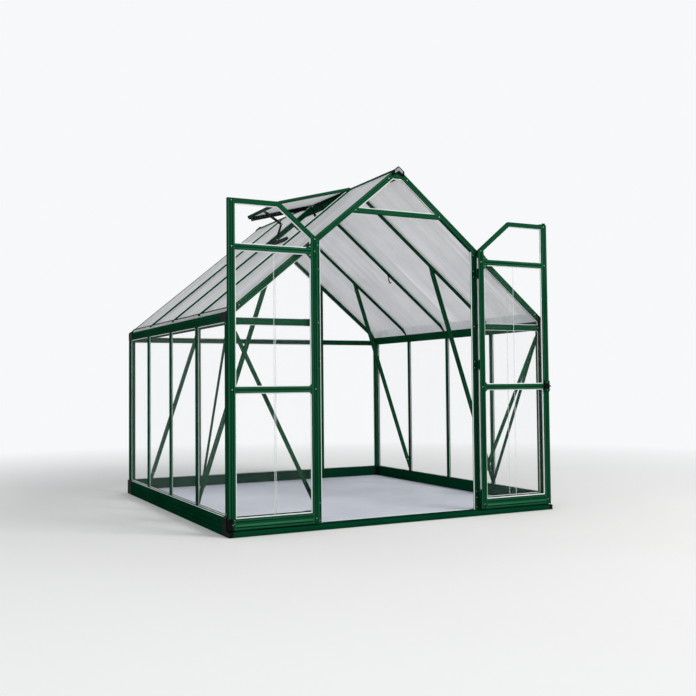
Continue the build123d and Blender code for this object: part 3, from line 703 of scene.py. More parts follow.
class Finishes:
    """All finishes of the greenhouse, each built once."""

    def __init__(self) -> None:
        """Build the dressings that the nodes and the trim share."""
        paint, plastic, metal = Slot.FRAME_PAINT, Slot.BLACK_PLASTIC, Slot.HINGE_METAL
        self.green = Dressing(PowderCoat().build(), paint)
        self.base = Dressing(PowderCoat("base powder coat", (0.0015, 0.034, 0.0145), (0.0026, 0.046, 0.021),
                                        (0.38, 0.52)).build(), Slot.BASE_PAINT)
        self.hinge = Dressing(PowderCoat("hinge paint", (0.0014, 0.030, 0.0130), (0.0024, 0.040, 0.0185),
                                         (0.26, 0.36)).build(), metal)
        self.black = Dressing(MouldedPlastic().build(), plastic)
        self.seal = Dressing(MouldedPlastic("rubber seal", (0.0025, 0.0040, 0.0035), (0.0055, 0.0080, 0.0070),
                                            (0.62, 0.78), grain=(2600.0, 2.0)).build(), plastic)
        # Painted shade: near-black green for the inserts that darken the bars' grooves.
        self.groove = Dressing(PowderCoat("shaded groove paint", (0.0008, 0.0120, 0.0055),
                                          (0.0014, 0.0180, 0.0085), (0.55, 0.70)).build(), paint)
        # Painted highlight: lighter green for raised ribs and lips, standing in for light caught along the
        # profiles' edges.
        self.rib = Dressing(PowderCoat("painted highlight rib paint", (0.014, 0.094, 0.042), (0.024, 0.130, 0.062),
                                       (0.45, 0.60)).build(), paint)
        # Painted highlight: grey plate that stands in for the reflection on the glossy black ridge cap.
        self.cap_glint_plate = Dressing(MouldedPlastic("grey glint plate", (0.24, 0.26, 0.28),
                                                 (0.38, 0.40, 0.42)).build(), plastic)
        self.steel = Dressing(PlatedSteel().build(), metal)
        self.clear = Dressing(ClearGlazing().build(), Slot.CLEAR_SHEET)
        self.joint = Dressing(ClearGlazing("clear joint strip", (0.60, 0.66, 0.65), (0.70, 0.76, 0.75),
                                           0.30, 0.50).build(), Slot.CLEAR_SHEET)
        self.roof = Dressing(TwinWallGlazing().build(), Slot.ROOF_SHEET)
        self.strip = Dressing(EdgeStrip().build(), Slot.CLEAR_SHEET)
        self.roof_strip = Dressing(self.strip.material, Slot.ROOF_SHEET)
        # Painted light: the eave lining is paler than its shade under the gutter would leave it, standing in
        # for light let through the roof sheet.
        self.lining = Dressing(EdgeStrip("eave lining painted light", (0.84, 0.85, 0.87), (0.95, 0.96, 0.97)).build(),
                               Slot.ROOF_SHEET)
        self.floor = Dressing(SlabFloor().build(), Slot.FLOOR_SLAB)

    def of_slots(self) -> dict[Slot, Material]:
        """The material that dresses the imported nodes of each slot."""
        packed = (self.green, self.base, self.black, self.hinge, self.clear, self.roof, self.floor)
        return {dressing.slot: dressing.material for dressing in packed}


# Mesh making

class Shaper:
    """A mesh under construction, to which simple shapes are added."""

    def __init__(self) -> None:
        """Start an empty mesh."""
        self.mesh = bmesh.new()

    def loop(self, places: Iterable[Vector]) -> list[bmesh.types.BMVert]:
        """New vertices at the given places."""
        return [self.mesh.verts.new(place) for place in places]

    def circle(self, at: Vector, turn: Matrix, radius: float, up: float, sides: int
               ) -> list[bmesh.types.BMVert]:
        """New vertices round a point.

        Args:
            at: Point that the circle is measured from.
            turn: Rotation that takes Z to the circle's axis.
            radius: Radius of the circle.
            up: Distance of its centre from the point, along the axis.
            sides: Number of vertices.

        Returns:
            The vertices in order.
        """
        angles = [math.tau * k / sides for k in range(sides)]
        return self.loop(at + turn @ Vector((math.cos(a) * radius, math.sin(a) * radius, up)) for a in angles)

    def skin(self, loops: Sequence[list[bmesh.types.BMVert]]) -> None:
        """Add faces between each closed loop of vertices and the next.

        Args:
            loops: The loops in order, with as many vertices each.
        """
        for near, far in zip(loops, loops[1:]):
            for i in range(len(near)):
                j = (i + 1) % len(near)
                self.mesh.faces.new((near[i], near[j], far[j], far[i]))

    def ring(self, face: Face, outline: Outline, width: float, low: float, high: float) -> None:
        """Add a flat strip that follows the inside of an outline, with a chamfered inner lip.

        Args:
            face: Working plane.
            outline: Convex corners, anticlockwise seen from outside.
            width: Width of the strip.
            low: Height of its foot over the plane.
            high: Height of its top.
        """
        lip = min(width, high - low) * 0.35
        profile = [(0.0, low), (0.0, high), (width - lip, high), (width, high - lip), (width, low)]
        loops = [self.loop(face.at(u, v, w) for u, v in inset(outline, wide)) for wide, w in profile]
        self.skin([*loops, loops[0]])

    def bar(self, face: Face, low: Point2, high: Point2, out: Point2, bevel: float = 0.0008) -> None:
        """Add a box with bevelled edges in a working plane.

        Args:
            face: Working plane.
            low: Lower corner in the plane.
            high: Upper corner in the plane.
            out: Lower and upper height over the plane.
            bevel: Width of the bevel.
        """
        corners = oblong((low[0], high[0]), (low[1], high[1]))
        verts = self.loop(face.at(u, v, w) for w in out for u, v in corners)
        quads = [(3, 2, 1, 0), (4, 5, 6, 7), (0, 1, 5, 4), (1, 2, 6, 5), (2, 3, 7, 6), (3, 0, 4, 7)]
        made = [self.mesh.faces.new([verts[i] for i in quad]) for quad in quads]
        edges = list({edge for side in made for edge in side.edges})
        bmesh.ops.bevel(self.mesh, geom=edges, offset=bevel, segments=2, affect="EDGES", profile=0.6)

    def prism(self, face: Face, outline: Outline, low: float, high: float) -> None:
        """Add a straight prism over an outline in a working plane.

        Args:
            face: Working plane.
            outline: Its corners.
            low: Height of the first end over the plane.
            high: Height of the other end.
        """
        ends = [self.loop(face.at(u, v, w) for u, v in outline) for w in (low, high)]
        self.mesh.faces.new(ends[0][::-1])
        self.mesh.faces.new(ends[1])
        self.skin(ends)

    def screw(self, at: Vector, out: Vector, radius: float, tall: float) -> None:
        """Add a pan-head screw with a round recess.

        Args:
            at: Centre of the foot.
            out: Direction of the head.
            radius: Radius of the head.
            tall: Height of the head.
        """
        turn = out.to_track_quat("Z", "Y").to_matrix()
        profile = [(1.0, 0.0), (1.0, 0.45), (0.86, 0.82), (0.62, 1.0), (0.40, 1.0), (0.36, 0.45)]
        loops = [self.circle(at, turn, wide * radius, up * tall, 12) for wide, up in profile]
        self.skin(loops)
        self.mesh.faces.new(loops[-1])

    def rod(self, path: Sequence[Vector], radius: float, sides: int = 10) -> None:
        """Add a round rod along a path of points.

        Args:
            path: Centre line.
            radius: Radius of the rod.
            sides: Facets round it.
        """
        loops = []
        for i, here in enumerate(path):
            ahead = (path[min(i + 1, len(path) - 1)] - path[max(i - 1, 0)]).normalized()
            loops.append(self.circle(here, ahead.to_track_quat("Z", "Y").to_matrix(), radius, 0.0, sides))
        self.skin(loops)
        self.mesh.faces.new(loops[0][::-1])
        self.mesh.faces.new(loops[-1])

    def piece(self, name: str, dressing: Dressing, body: Body = Body.FRAME) -> bpy.types.Object:
        """Finish the mesh as an object that rides on a body.

        Args:
            name: Name of the piece.
            dressing: Its material and slot.
            body: What it moves with.

        Returns:
            The new object.
        """
        bmesh.ops.recalc_face_normals(self.mesh, faces=self.mesh.faces)
        data = bpy.data.meshes.new(name)
        self.mesh.to_mesh(data)
        self.mesh.free()
        data.materials.append(dressing.material)
        made = bpy.data.objects.new(name, data)
        bpy.context.scene.collection.objects.link(made)
        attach(made, body.value)
        LOG.info("%s: %d faces on %s", name, len(data.polygons), body.value)
        return made


# Sub-assemblies

@dataclass
class Trim:
    """A sub-assembly and the finishes it wears."""

    finishes: Finishes


@dataclass
class PackedNodes(Trim):
    """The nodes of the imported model, dressed slot by slot."""

    def build(self) -> None:
        """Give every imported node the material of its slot."""
        materials = self.finishes.of_slots()
        for part in frame["record"]["subparts"]:
            node = frame["nodes"][part["node"]]
            material = materials[Slot(part["material_slot"])]
            if not node.data.materials:
                node.data.materials.append(material)
            for holder in node.material_slots:
                holder.material = material


@dataclass
class Glazing(Trim):
    """What holds the sheets: dark seals and pale strips round every sheet, and the joints within some."""

    seal: float = 0.0014
    strip: float = 0.0060
    tall: float = 0.0022
    slim_seal: float = 0.0040
    slim_strip: float = 0.0035
    slim_tall: float = 0.0011
    slim_proud: float = 0.0012
    roof_thick: float = 0.006
    roof_in: float = 0.004
    roof_lap: float = 0.0045
    seam_half: float = 0.0035
    seam_out: Point2 = (0.0001, 0.0012)
    line_half: float = 0.0009
    line_tall: float = 0.0008
    line_end: float = 0.020
    lines: tuple[Point2, ...] = ((-0.052, 0.26), (-0.028, 0.0), (-0.016, 0.12), (0.020, 0.05), (0.046, 0.34))

    def panes(self, name: str, face: Face, outlines: Sequence[Outline], slim: int = 0,
              body: Body = Body.FRAME) -> None:
        """Seals and strips on both faces of the sheets of one wall or leaf.

        Args:
            name: Name of the wall or leaf.
            face: Plane of the sheets' outer face.
            outlines: The openings, anticlockwise.
            slim: How many of them, from the first, have a slim strip and a wide seal.
            body: What the sheets move with.
        """
        seals, strips = Shaper(), Shaper()
        back = -PLAN.pane_thick
        for number, outline in enumerate(outlines):
            seal, strip, tall, proud = self.seal, self.strip, self.tall, 0.0
            if number < slim:
                seal, strip, tall, proud = self.slim_seal, self.slim_strip, self.slim_tall, self.slim_proud
            for low, high in ((0.0, tall), (back - tall, back)):
                seals.ring(face, outline, seal, low, high + proud)
                strips.ring(face, inset(outline, seal), strip, low, high)
        seals.piece(f"{name}_seals", self.finishes.seal, body)
        strips.piece(f"{name}_strips", self.finishes.strip, body)

    def seams(self, name: str, face: Face, places: Iterable[tuple[float, Point2]], body: Body = Body.FRAME
              ) -> None:
        """Upright clear strips over the joints between halves of sheets.

        Args:
            name: Name of the wall or leaf.
            face: Plane of the sheets' outer face.
            places: Middle of each joint, with its lower and upper end.
            body: What the sheets move with.
        """
        joints = Shaper()
        for x, (low, high) in places:
            joints.bar(face, (x - self.seam_half, low), (x + self.seam_half, high), self.seam_out, 0.0004)
        joints.piece(f"{name}_joints", self.finishes.joint, body)

    def side_wall(self, side: Side) -> None:
        """Trim of one side wall's four sheets.

        Args:
            side: Which wall.
        """
        bays = PLAN.bays(PLAN.stud_half, PLAN.post)
        outlines = [oblong(bay, (PLAN.sill_top, PLAN.eave_bottom)) for bay in bays]
        self.panes(f"{side.word}_wall", Face.side_wall(PLAN.side - PLAN.pane_in, side), outlines, len(bays))

    def end_wall(self, end: End) -> None:
        """Trim of the front or the rear wall, whose lower and upper side sheets have slim strips.

        Args:
            end: Which wall.
        """
        front = end is End.FRONT
        y = (PLAN.front if front else PLAN.rear) - end.value * PLAN.pane_in
        face = Face.end_wall(y, end)
        inner, outer = (PLAN.door_post if front else PLAN.mullion)[1], PLAN.eave_in
        low, (high, top) = PLAN.sill_top, PLAN.transom
        right = [oblong((inner, outer), (low, high)),
                 [(inner, top), (outer, top), (outer, PLAN.roof_z(outer, PLAN.rake)),
                  (inner, PLAN.roof_z(inner, PLAN.rake))]]
        outlines = right + [mirrored(outline) for outline in right]
        crown = PLAN.apex - PLAN.ridge_deep
        peak = PLAN.apex - PLAN.rake / PLAN.cosine
        tip = (peak - crown) / PLAN.fall
        if front:
            foot = PLAN.header[1]
            half = (peak - foot) / PLAN.fall
            outlines.append([(-half, foot), (half, foot), (tip, crown), (-tip, crown)])
            middle = (inner + outer) / 2
            spans = ((low, high), (top, PLAN.roof_z(middle, PLAN.rake)))
            self.seams("front_wall", face, [(x, span) for x in (-middle, middle) for span in spans])
        else:
            half = PLAN.mullion[0]
            shoulder = PLAN.roof_z(half, PLAN.rake)
            outlines.append(oblong((-half, half), (low, high)))
            outlines.append([(-half, top), (half, top), (half, shoulder), (tip, crown), (-tip, crown),
                             (-half, shoulder)])
        self.panes(f"{end.name.lower()}_wall", face, outlines, 4)

    def leaf(self, side: Side) -> None:
        """Trim of one door leaf's three sheets.

        Args:
            side: Which leaf.
        """
        face = Face.end_wall(PLAN.leaf_middle - PLAN.pane_thick / 2)
        inner, outer = PLAN.leaf_pane
        flat = PLAN.leaf_top - PLAN.head_rail
        closed = (PLAN.apex - (PLAN.head_drop + PLAN.head_rail) / PLAN.cosine - flat) / PLAN.fall
        spans = (PLAN.bottom_rail, PLAN.mid_rail[0]), (PLAN.mid_rail[1], PLAN.high_rail[0])
        outlines = [oblong((inner, outer), span) for span in spans]
        outlines.append([(inner, PLAN.high_rail[1]), (outer, PLAN.high_rail[1]), (outer, flat),
                         (2 * PLAN.hinge - closed, flat), (inner, PLAN.head_z(inner, PLAN.head_rail))])
        if side is Side.LEFT:
            outlines = [mirrored(outline) for outline in outlines]
        name = f"{side.word}_leaf"
        self.seams(name, face, [(side.value * (inner + outer) / 2, span) for span in spans], side.leaf)
        self.panes(name, face, outlines, body=side.leaf)

    def slope(self, side: Side) -> None:
        """Trim of one roof slope's four sheets, with thin pale lines on their inner faces.

        Args:
            side: Which slope.
        """
        seals, strips = Shaper(), Shaper()
        face = Face.slope(side).raised(-self.roof_in)
        end = PLAN.eave_in / PLAN.cosine
        under = -self.roof_thick
        for number, (a, b) in enumerate(PLAN.bays(PLAN.rafter_half, PLAN.rake)):
            vented = side is Side.LEFT and number == 1
            start = (PLAN.vent_low if vented else PLAN.ridge_half) / PLAN.cosine
            inner = oblong((a, b), (start, end))
            strips.ring(face, oblong((a + self.roof_lap, b - self.roof_lap), (start, end)), self.strip, 0.0,
                        self.tall)
            seals.ring(face, inner, self.seal, under - self.tall, under)
            strips.ring(face, inset(inner, self.seal), self.strip, under - self.tall, under)
            for shift, shorter in self.lines:
                y, cut = (a + b) / 2 + shift, self.line_end + shorter
                strips.bar(face, (y - self.line_half, start + cut), (y + self.line_half, end - cut),
                           (under - self.line_tall, under + SEAT), 0.0002)
        seals.piece(f"{side.word}_roof_seals", self.finishes.seal)
        strips.piece(f"{side.word}_roof_strips", self.finishes.roof_strip)

    def build(self) -> None:
        """Make the trim of every sheet."""
        for side in Side:
            self.side_wall(side)
            self.leaf(side)
            self.slope(side)
        for end in End:
            self.end_wall(end)


@dataclass
class RoofTrim(Trim):
    """Rafter covers, bars at the sheets' ends, the vent's seals, strips, hook and stay, and the hangers."""

    cover_half: float = 0.015
    cover_x: Point2 = (0.060, 1.186)
    cover_out: Point2 = (-0.0030, 0.0100)
    bead_half: float = 0.0025
    bead_tall: float = 0.0035
    bead_end: float = 0.010
    end_x: Point2 = (1.174, 1.181)
    end_out: Point2 = (-0.0045, 0.0050)
    end_top: float = 0.0090
    seal_wide: float = 0.012
    seal_deep: Point2 = (0.004, 0.010)
    seal_in: float = 0.004
    seal_ends: Point2 = (0.066, 0.002)
    skirt_wide: float = 0.007
    skirt_deep: float = 0.028
    skirt_in: float = 0.003
    skirt_ends: Point2 = (0.086, 0.016)
    lip_wide: float = 0.010
    lip_deep: float = 0.004
    lip_end: float = 0.020
    lip_gap: float = 0.030
    hinge_rod: Point3 = (-0.001, 0.007, 0.0045)
    flap_sheet: Point2 = (0.012, 0.006)
    flap_strip: float = 0.005
    flap_strip_tall: float = 0.002
    hook_radius: float = 0.009
    hook_plate: tuple[Point2, Point2] = ((-0.009, -0.028), (0.007, 0.016))
    hook_plate_tall: float = 0.006
    hook_path: tuple[Point2, ...] = ((0.398, 0.002), (0.392, 0.046), (0.378, 0.060), (0.318, 0.066),
                                     (0.304, 0.056), (0.310, 0.018))
    stay_joints: tuple[Point2, ...] = ((-0.491, 1.9782), (-0.452, 2.0957), (-0.5837, 2.1789))
    sleeves: Point2 = (0.008, 0.010)
    sleeve_shift: float = 0.004
    sleeve_end: float = 0.012
    rivet: Point2 = (0.006, 0.003)
    rivet_out: float = 0.008
    hanger_x: float = 0.654
    hanger_plate: Point3 = (0.012, 0.010, 0.005)
    hanger_root: float = 0.004
    hanger_drops: Point2 = (0.028, 0.042)
    hanger_reach: float = 0.016
    hanger_radius: float = 0.005

    def covers(self, side: Side) -> None:
        """Cover strips of one slope, each with a pale bead, and the bars at the sheets' lower ends.

        Args:
            side: Which slope.
        """
        covers, beads, tops = Shaper(), Shaper(), Shaper()
        face = Face.slope(side)
        low, high = (x / PLAN.cosine for x in self.cover_x)
        crest = self.cover_out[1]
        for y in PLAN.studs:
            covers.bar(face, (y - self.cover_half, low), (y + self.cover_half, high), self.cover_out, 0.0016)
            near, far = y - self.bead_half, y + self.bead_half
            beads.bar(face, (near, low + self.bead_end), (far, high - self.bead_end),
                      (crest - SEAT, crest + self.bead_tall))
        start, stop = (x / PLAN.cosine for x in self.end_x)
        for a, b in PLAN.bays(self.cover_half, PLAN.rake):
            beads.bar(face, (a, start), (b, stop), self.end_out)
            tops.bar(face, (a, start), (b, stop), (self.end_out[1] - SEAT, self.end_top))
        tops.piece(f"{side.word}_sheet_end_seals", self.finishes.seal)
        covers.piece(f"{side.word}_rafter_covers", self.finishes.green)
        beads.piece(f"{side.word}_cover_beads", self.finishes.roof_strip)

    def vent(self) -> None:
        """Seals, skirt and lips under the flap's bars, rod along its hinge, and strips round its sheet."""
        bay = PLAN.bays(PLAN.rafter_half, PLAN.rake)[1]
        start, stop = bay[0] - PLAN.vent_lap, bay[1] + PLAN.vent_lap
        length, face, seals, strips = PLAN.vent_length, Face.flap(), Shaper(), Shaper()
        near, far = start + self.seal_in, stop - self.seal_in - self.seal_wide
        end = length - self.seal_ends[1]
        for y, deep in zip((near, far), self.seal_deep):
            seals.bar(face, (y, self.seal_ends[0]), (y + self.seal_wide, end), (-deep, SEAT), 0.0012)
        skirt = bay[1] - self.skirt_in
        seals.bar(face, (skirt - self.skirt_wide, self.skirt_ends[0]), (skirt, length - self.skirt_ends[1]),
                  (-self.skirt_deep, SEAT), 0.0020)
        for low, high in ((start + self.lip_end, PLAN.stay_y - self.lip_gap),
                          (PLAN.stay_y + self.lip_gap, stop - self.lip_end)):
            seals.bar(face, (low, length - self.lip_wide), (high, end), (-self.lip_deep, SEAT))
        v, w, radius = self.hinge_rod
        seals.rod([face.at(start, v, w), face.at(stop, v, w)], radius)
        seals.piece("vent_seal", self.finishes.seal)
        bar = PLAN.vent_bar
        outline = oblong((start + bar, stop - bar), (bar, length - bar))
        upper, lower = self.flap_sheet
        strips.ring(face.raised(upper), outline, self.flap_strip, 0.0, self.flap_strip_tall)
        strips.ring(face.raised(lower), outline, self.flap_strip, -self.flap_strip_tall, 0.0)
        strips.piece("vent_strips", self.finishes.roof_strip)

    def hook(self) -> None:
        """Bent black hook that stands on the rafter beside the vent."""
        shaper, face = Shaper(), Face.slope(Side.LEFT)
        y, foot = PLAN.studs[0] + PLAN.rafter_half, self.hook_path[0][0]
        shaper.rod([face.at(y, v, w) for v, w in self.hook_path], self.hook_radius)
        low, high = ((y + u, foot + v) for u, v in self.hook_plate)
        shaper.bar(face, low, high, (0.0, self.hook_plate_tall), 0.0012)
        shaper.piece("vent_hook", self.finishes.black)

    def stay(self) -> None:
        """Round sleeves on the stay's two arms, with rivets at its joints."""
        sleeves, rivets = Shaper(), Shaper()
        joints = [Vector((x, 0, z)) for x, z in self.stay_joints]
        shifts = (PLAN.stay_y + self.sleeve_shift, PLAN.stay_y - self.sleeve_shift)
        for start, end, shift, radius in zip(joints, joints[1:], shifts, self.sleeves):
            step, aside = (end - start).normalized() * self.sleeve_end, Vector((0, shift, 0))
            sleeves.rod([start + step + aside, end - step + aside], radius)
        for joint in joints:
            for way in (-1, 1):
                foot = joint + Vector((0, PLAN.stay_y + way * self.rivet_out, 0))
                rivets.screw(foot, Vector((0, way, 0)), *self.rivet)
        sleeves.piece("vent_stay_sleeves", self.finishes.black)
        rivets.piece("vent_stay_rivets", self.finishes.steel)

    def hangers(self) -> None:
        """Small black hangers under the middle rafters."""
        shaper = Shaper()
        y, v, low = PLAN.studs[1], self.hanger_x / PLAN.cosine, -PLAN.rafter_deep
        half_u, half_v, thick = self.hanger_plate
        for side in Side:
            face = Face.slope(side)
            shaper.bar(face, (y - half_u, v - half_v), (y + half_u, v + half_v), (low - thick, low + SEAT),
                       0.001)
            root, reach = face.at(y, v, low - self.hanger_root), face.up * self.hanger_reach
            short, long = (Vector((0, 0, -1)) * drop for drop in self.hanger_drops)
            shaper.rod([root, root + short, root + long + reach, root + short + reach * 2],
                       self.hanger_radius, 8)
        shaper.piece("rafter_hangers", self.finishes.black)

    def build(self) -> None:
        """Make the roof's trim."""
        for side in Side:
            self.covers(side)
        self.vent()
        self.hook()
        self.stay()
        self.hangers()


@dataclass
class DoorTrim(Trim):
    """What the leaves carry besides their sheets: edge seals, kick lips, a foot guard and a top catch."""

    brush: float = 0.0012
    closing_half: float = 0.004
    closing_ends: Point2 = (0.075, 0.006)
    hinge_sides: Point2 = (-0.006, 0.005)
    hinge_room: float = 0.036
    rail_room: float = 0.010
    lip: Point2 = (0.062, 0.074)
    lip_out: float = 0.003
    lip_round: float = 0.002
    shoe_foot: float = 0.001
    shoe_wide: float = 0.027
    shoe_tall: float = 0.070
    shoe_thick: float = 0.0020
    shoe_rib: Point3 = (0.002, 0.001, 0.018)
    shoe_rib_ends: Point2 = (0.003, 0.004)
    catch_plate: tuple[Point2, Point2, Point2] = ((-0.058, -SEAT), (-0.004, 0.005), (-0.006, 0.009))
    catch_nib: tuple[Point2, Point2, Point2] = ((-0.030, 0.004), (-0.006, 0.014), (-0.004, 0.007))

    def leaf(self, side: Side) -> None:
        """Closing seal, hinge-edge seal and kick lip of one leaf, the lip painted lighter as a highlight.

        Args:
            side: Which leaf.
        """
        closing, hinged, lip = Shaper(), Shaper(), Shaper()
        middle, half, name = PLAN.leaf_middle, self.closing_half, f"{side.word}_leaf"
        closing.bar(Face.side_wall(PLAN.leaf[1], side), (middle - half, PLAN.leaf_low + self.closing_ends[0]),
                    (middle + half, PLAN.leaf_top - self.closing_ends[1]), (-SEAT, self.brush), 0.0004)
        closing.piece(f"{name}_closing_seal", self.finishes.seal, side.leaf)
        lows = [z + self.hinge_room for z in PLAN.hinges]
        highs = [z - self.hinge_room for z in PLAN.hinges[1:]] + [PLAN.high_rail[1] + self.rail_room]
        near, far = (middle + y for y in self.hinge_sides)
        for low, high in zip(lows, highs):
            hinged.bar(Face.side_wall(PLAN.leaf[0], side), (near, low), (far, high), (-self.brush, SEAT),
                       0.0004)
        hinged.piece(f"{name}_hinge_seal", self.finishes.strip, side.leaf)
        front, (low, top), soft = PLAN.leaf_y[0], self.lip, self.lip_round
        profile = [(front, low - soft), (front, top), (front - self.lip_out, low + soft),
                   (front - self.lip_out, low - soft)]
        inner, outer = PLAN.leaf_pane
        lip.prism(Face.side_wall(inner, side), profile, 0.0, outer - inner)
        # The kick lip wears the lighter rib paint, a painted highlight along its edge.
        lip.piece(f"{name}_highlight_kick_lip", self.finishes.rib, side.leaf)

    def shoe(self) -> None:
        """Black ribbed guard round the left leaf's lower outer corner."""
        shaper, thick, outer = Shaper(), self.shoe_thick, PLAN.leaf[1]
        low, high = PLAN.leaf_low + self.shoe_foot, PLAN.leaf_low + self.shoe_tall
        front = Face.end_wall(PLAN.leaf_y[0])
        shaper.bar(front, (-outer - thick, low), (-outer + self.shoe_wide, high), (-SEAT, thick))
        edge = Face.side_wall(outer, Side.LEFT)
        shaper.bar(edge, (PLAN.leaf_y[0], low), (PLAN.leaf_y[1], high), (-SEAT, thick))
        half, tall, pitch = self.shoe_rib
        left, right = -outer + self.shoe_rib_ends[0], -outer + self.shoe_wide - self.shoe_rib_ends[1]
        for number in (1, 2, 3):
            z = low + pitch * number
            shaper.bar(front, (left, z - half), (right, z + half), (thick - SEAT, thick + tall), 0.0005)
        shaper.piece("left_leaf_shoe", self.finishes.black, Body.LEFT_LEAF)

    def catch(self) -> None:
        """Small catch on the right leaf's upper outer corner."""
        shaper, face = Shaper(), Face.end_wall(PLAN.leaf_middle)
        x, z = PLAN.leaf[1], PLAN.leaf_top
        for (low, high, out), bevel in ((self.catch_plate, 0.0012), (self.catch_nib, 0.0016)):
            shaper.bar(face, (x + low[0], z + low[1]), (x + high[0], z + high[1]), out, bevel)
        shaper.piece("right_leaf_catch", self.finishes.hinge, Body.RIGHT_LEAF)

    def build(self) -> None:
        """Make the leaves' trim."""
        for side in Side:
            self.leaf(side)
        self.shoe()
        self.catch()


@dataclass
class WallStuds(Trim):
    """Slim studs of the side walls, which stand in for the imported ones, and the feet of the tie bars."""

    chamfer: float = 0.0010
    groove: Point2 = (0.0040, 0.0015)
    foot: Point2 = (0.146, 0.212)
    foot_half: float = 0.012
    foot_over: float = 0.001

    def side(self, side: Side) -> None:
        """Studs and tie feet of one wall.

        Args:
            side: Which wall.
        """
        shaper, feet, plan = Shaper(), Shaper(), Face.plan(side)
        half, (wide, deep), cut = PLAN.stud_half, self.groove, self.chamfer
        inner, outer = PLAN.stud_in, PLAN.stud_out
        for y in PLAN.studs:
            outline = [(y - half, inner), (y + half, inner), (y + half, outer - cut), (y + half - cut, outer)]
            for mark in (y + half / 2, y - half / 2):
                outline += [(mark + wide / 2, outer), (mark, outer - deep), (mark - wide / 2, outer)]
            outline += [(y - half + cut, outer), (y - half, outer - cut)]
            shaper.prism(plan, outline, PLAN.sill_top, PLAN.eave_bottom)
        studs = shaper.piece(f"{side.word}_slim_studs", self.finishes.green)
        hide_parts(f"{side.word}_studs")
        for y in PLAN.outer_studs:
            feet.bar(plan, (y - self.foot_half, PLAN.packed_stud_in - SEAT),
                     (y + self.foot_half, inner + self.foot_over), self.foot, 0.0012)
        feet.piece(f"{side.word}_tie_feet", self.finishes.green)

    def build(self) -> None:
        """Make both walls' studs."""
        for side in Side:
            self.side(side)


@dataclass
class BraceSleeves(Trim):
    """Wider channel sleeves over the tie bars and the braces, with raised ribs along their edges painted
    lighter as highlights.
    """

    tie_head: Point2 = (0.632, 1.7982)
    tie_foot: Point2 = (1.180, 0.150)
    tie_span: Point2 = (0.050, 1.655)
    tie_edges: Point2 = (-0.003, 0.025)
    tie_half: float = 0.0105
    tie_rib: float = 0.004
    tie_rib_in: float = 0.002
    tie_rib_end: float = 0.010
    rib_tall: float = 0.0008
    rib: Point2 = (0.008, 0.016)
    wider: float = 0.005
    plumb: float = 0.048
    deep: Point2 = (-0.0040, 0.0028)
    front_plane: float = -1.2217
    front_span: Point2 = (0.640, 1.140)
    side_plane: float = 1.1907
    side_span: Point2 = (-1.172, -0.648)
    side_bay: float = 0.5745

    def ties(self, side: Side, sleeves: Shaper, ribs: Shaper) -> None:
        """Sleeves of one side's tie bars.

        Args:
            side: Which side.
            sleeves: Mesh of the sleeves.
            ribs: Mesh of their ribs.
        """
        s, (x, z) = side.value, self.tie_head
        run = Vector((self.tie_foot[0] - x, 0, self.tie_foot[1] - z)).normalized()
        (low, high), (start, stop), half = self.tie_edges, self.tie_span, self.tie_half
        for y in PLAN.outer_studs:
            face = Face.of((s * x, y, z), (s * run.x, 0, run.z), (-s * run.z, 0, run.x), FRONTWARD)
            sleeves.bar(face, (start, low), (stop, high), (-half, half), 0.0012)
            for edge in (low + self.tie_rib_in, high - self.tie_rib_in - self.tie_rib):
                near, far = start + self.tie_rib_end, stop - self.tie_rib_end
                ribs.bar(face, (near, edge), (far, edge + self.tie_rib), (half - SEAT, half + self.rib_tall),
                         0.0003)

    def brace(self, face: Face, line: tuple[Point2, Point2], span: Point2, sign: float, sleeves: Shaper,
              ribs: Shaper) -> None:
        """Sleeve of one brace.

        Args:
            face: Plane of the brace.
            line: Two points of the brace's lower edge.
            span: Where the sleeve starts and stops along u.
            sign: Sign that takes u to its side.
            sleeves: Mesh of the sleeves.
            ribs: Mesh of their ribs.
        """
        (u0, v0), (u1, v1) = line
        ends = [(sign * u, v0 + (v1 - v0) / (u1 - u0) * (u - u0)) for u in span]

        def band(low: float, high: float) -> list[Point2]:
            """Outline between two heights over the lower edge."""
            return [(u, v + low) for u, v in ends] + [(u, v + high) for u, v in reversed(ends)]

        sleeves.prism(face, band(-self.wider, self.plumb + self.wider), *self.deep)
        ribs.prism(face, band(*self.rib), self.deep[0] - self.rib_tall, self.deep[0] + SEAT)

    def build(self) -> None:
        """Make the sleeves of both sides."""
        front_line = ((PLAN.door_post[1], PLAN.sill_top), (PLAN.eave_in, PLAN.transom[0] - self.plumb))
        start = PLAN.front + PLAN.post
        side_line = ((start, PLAN.eave_bottom - self.plumb), (start + self.side_bay, PLAN.sill_top))
        for side in Side:
            sleeves, ribs = Shaper(), Shaper()
            self.ties(side, sleeves, ribs)
            front, wall = Face.end_wall(self.front_plane), Face.side_wall(self.side_plane, side)
            self.brace(front, front_line, self.front_span, side.value, sleeves, ribs)
            self.brace(wall, side_line, self.side_span, 1.0, sleeves, ribs)
            sleeves.piece(f"{side.word}_brace_sleeves", self.finishes.green)
            # The ribs wear the lighter paint as a painted highlight.
            ribs.piece(f"{side.word}_brace_highlight_ribs", self.finishes.rib)


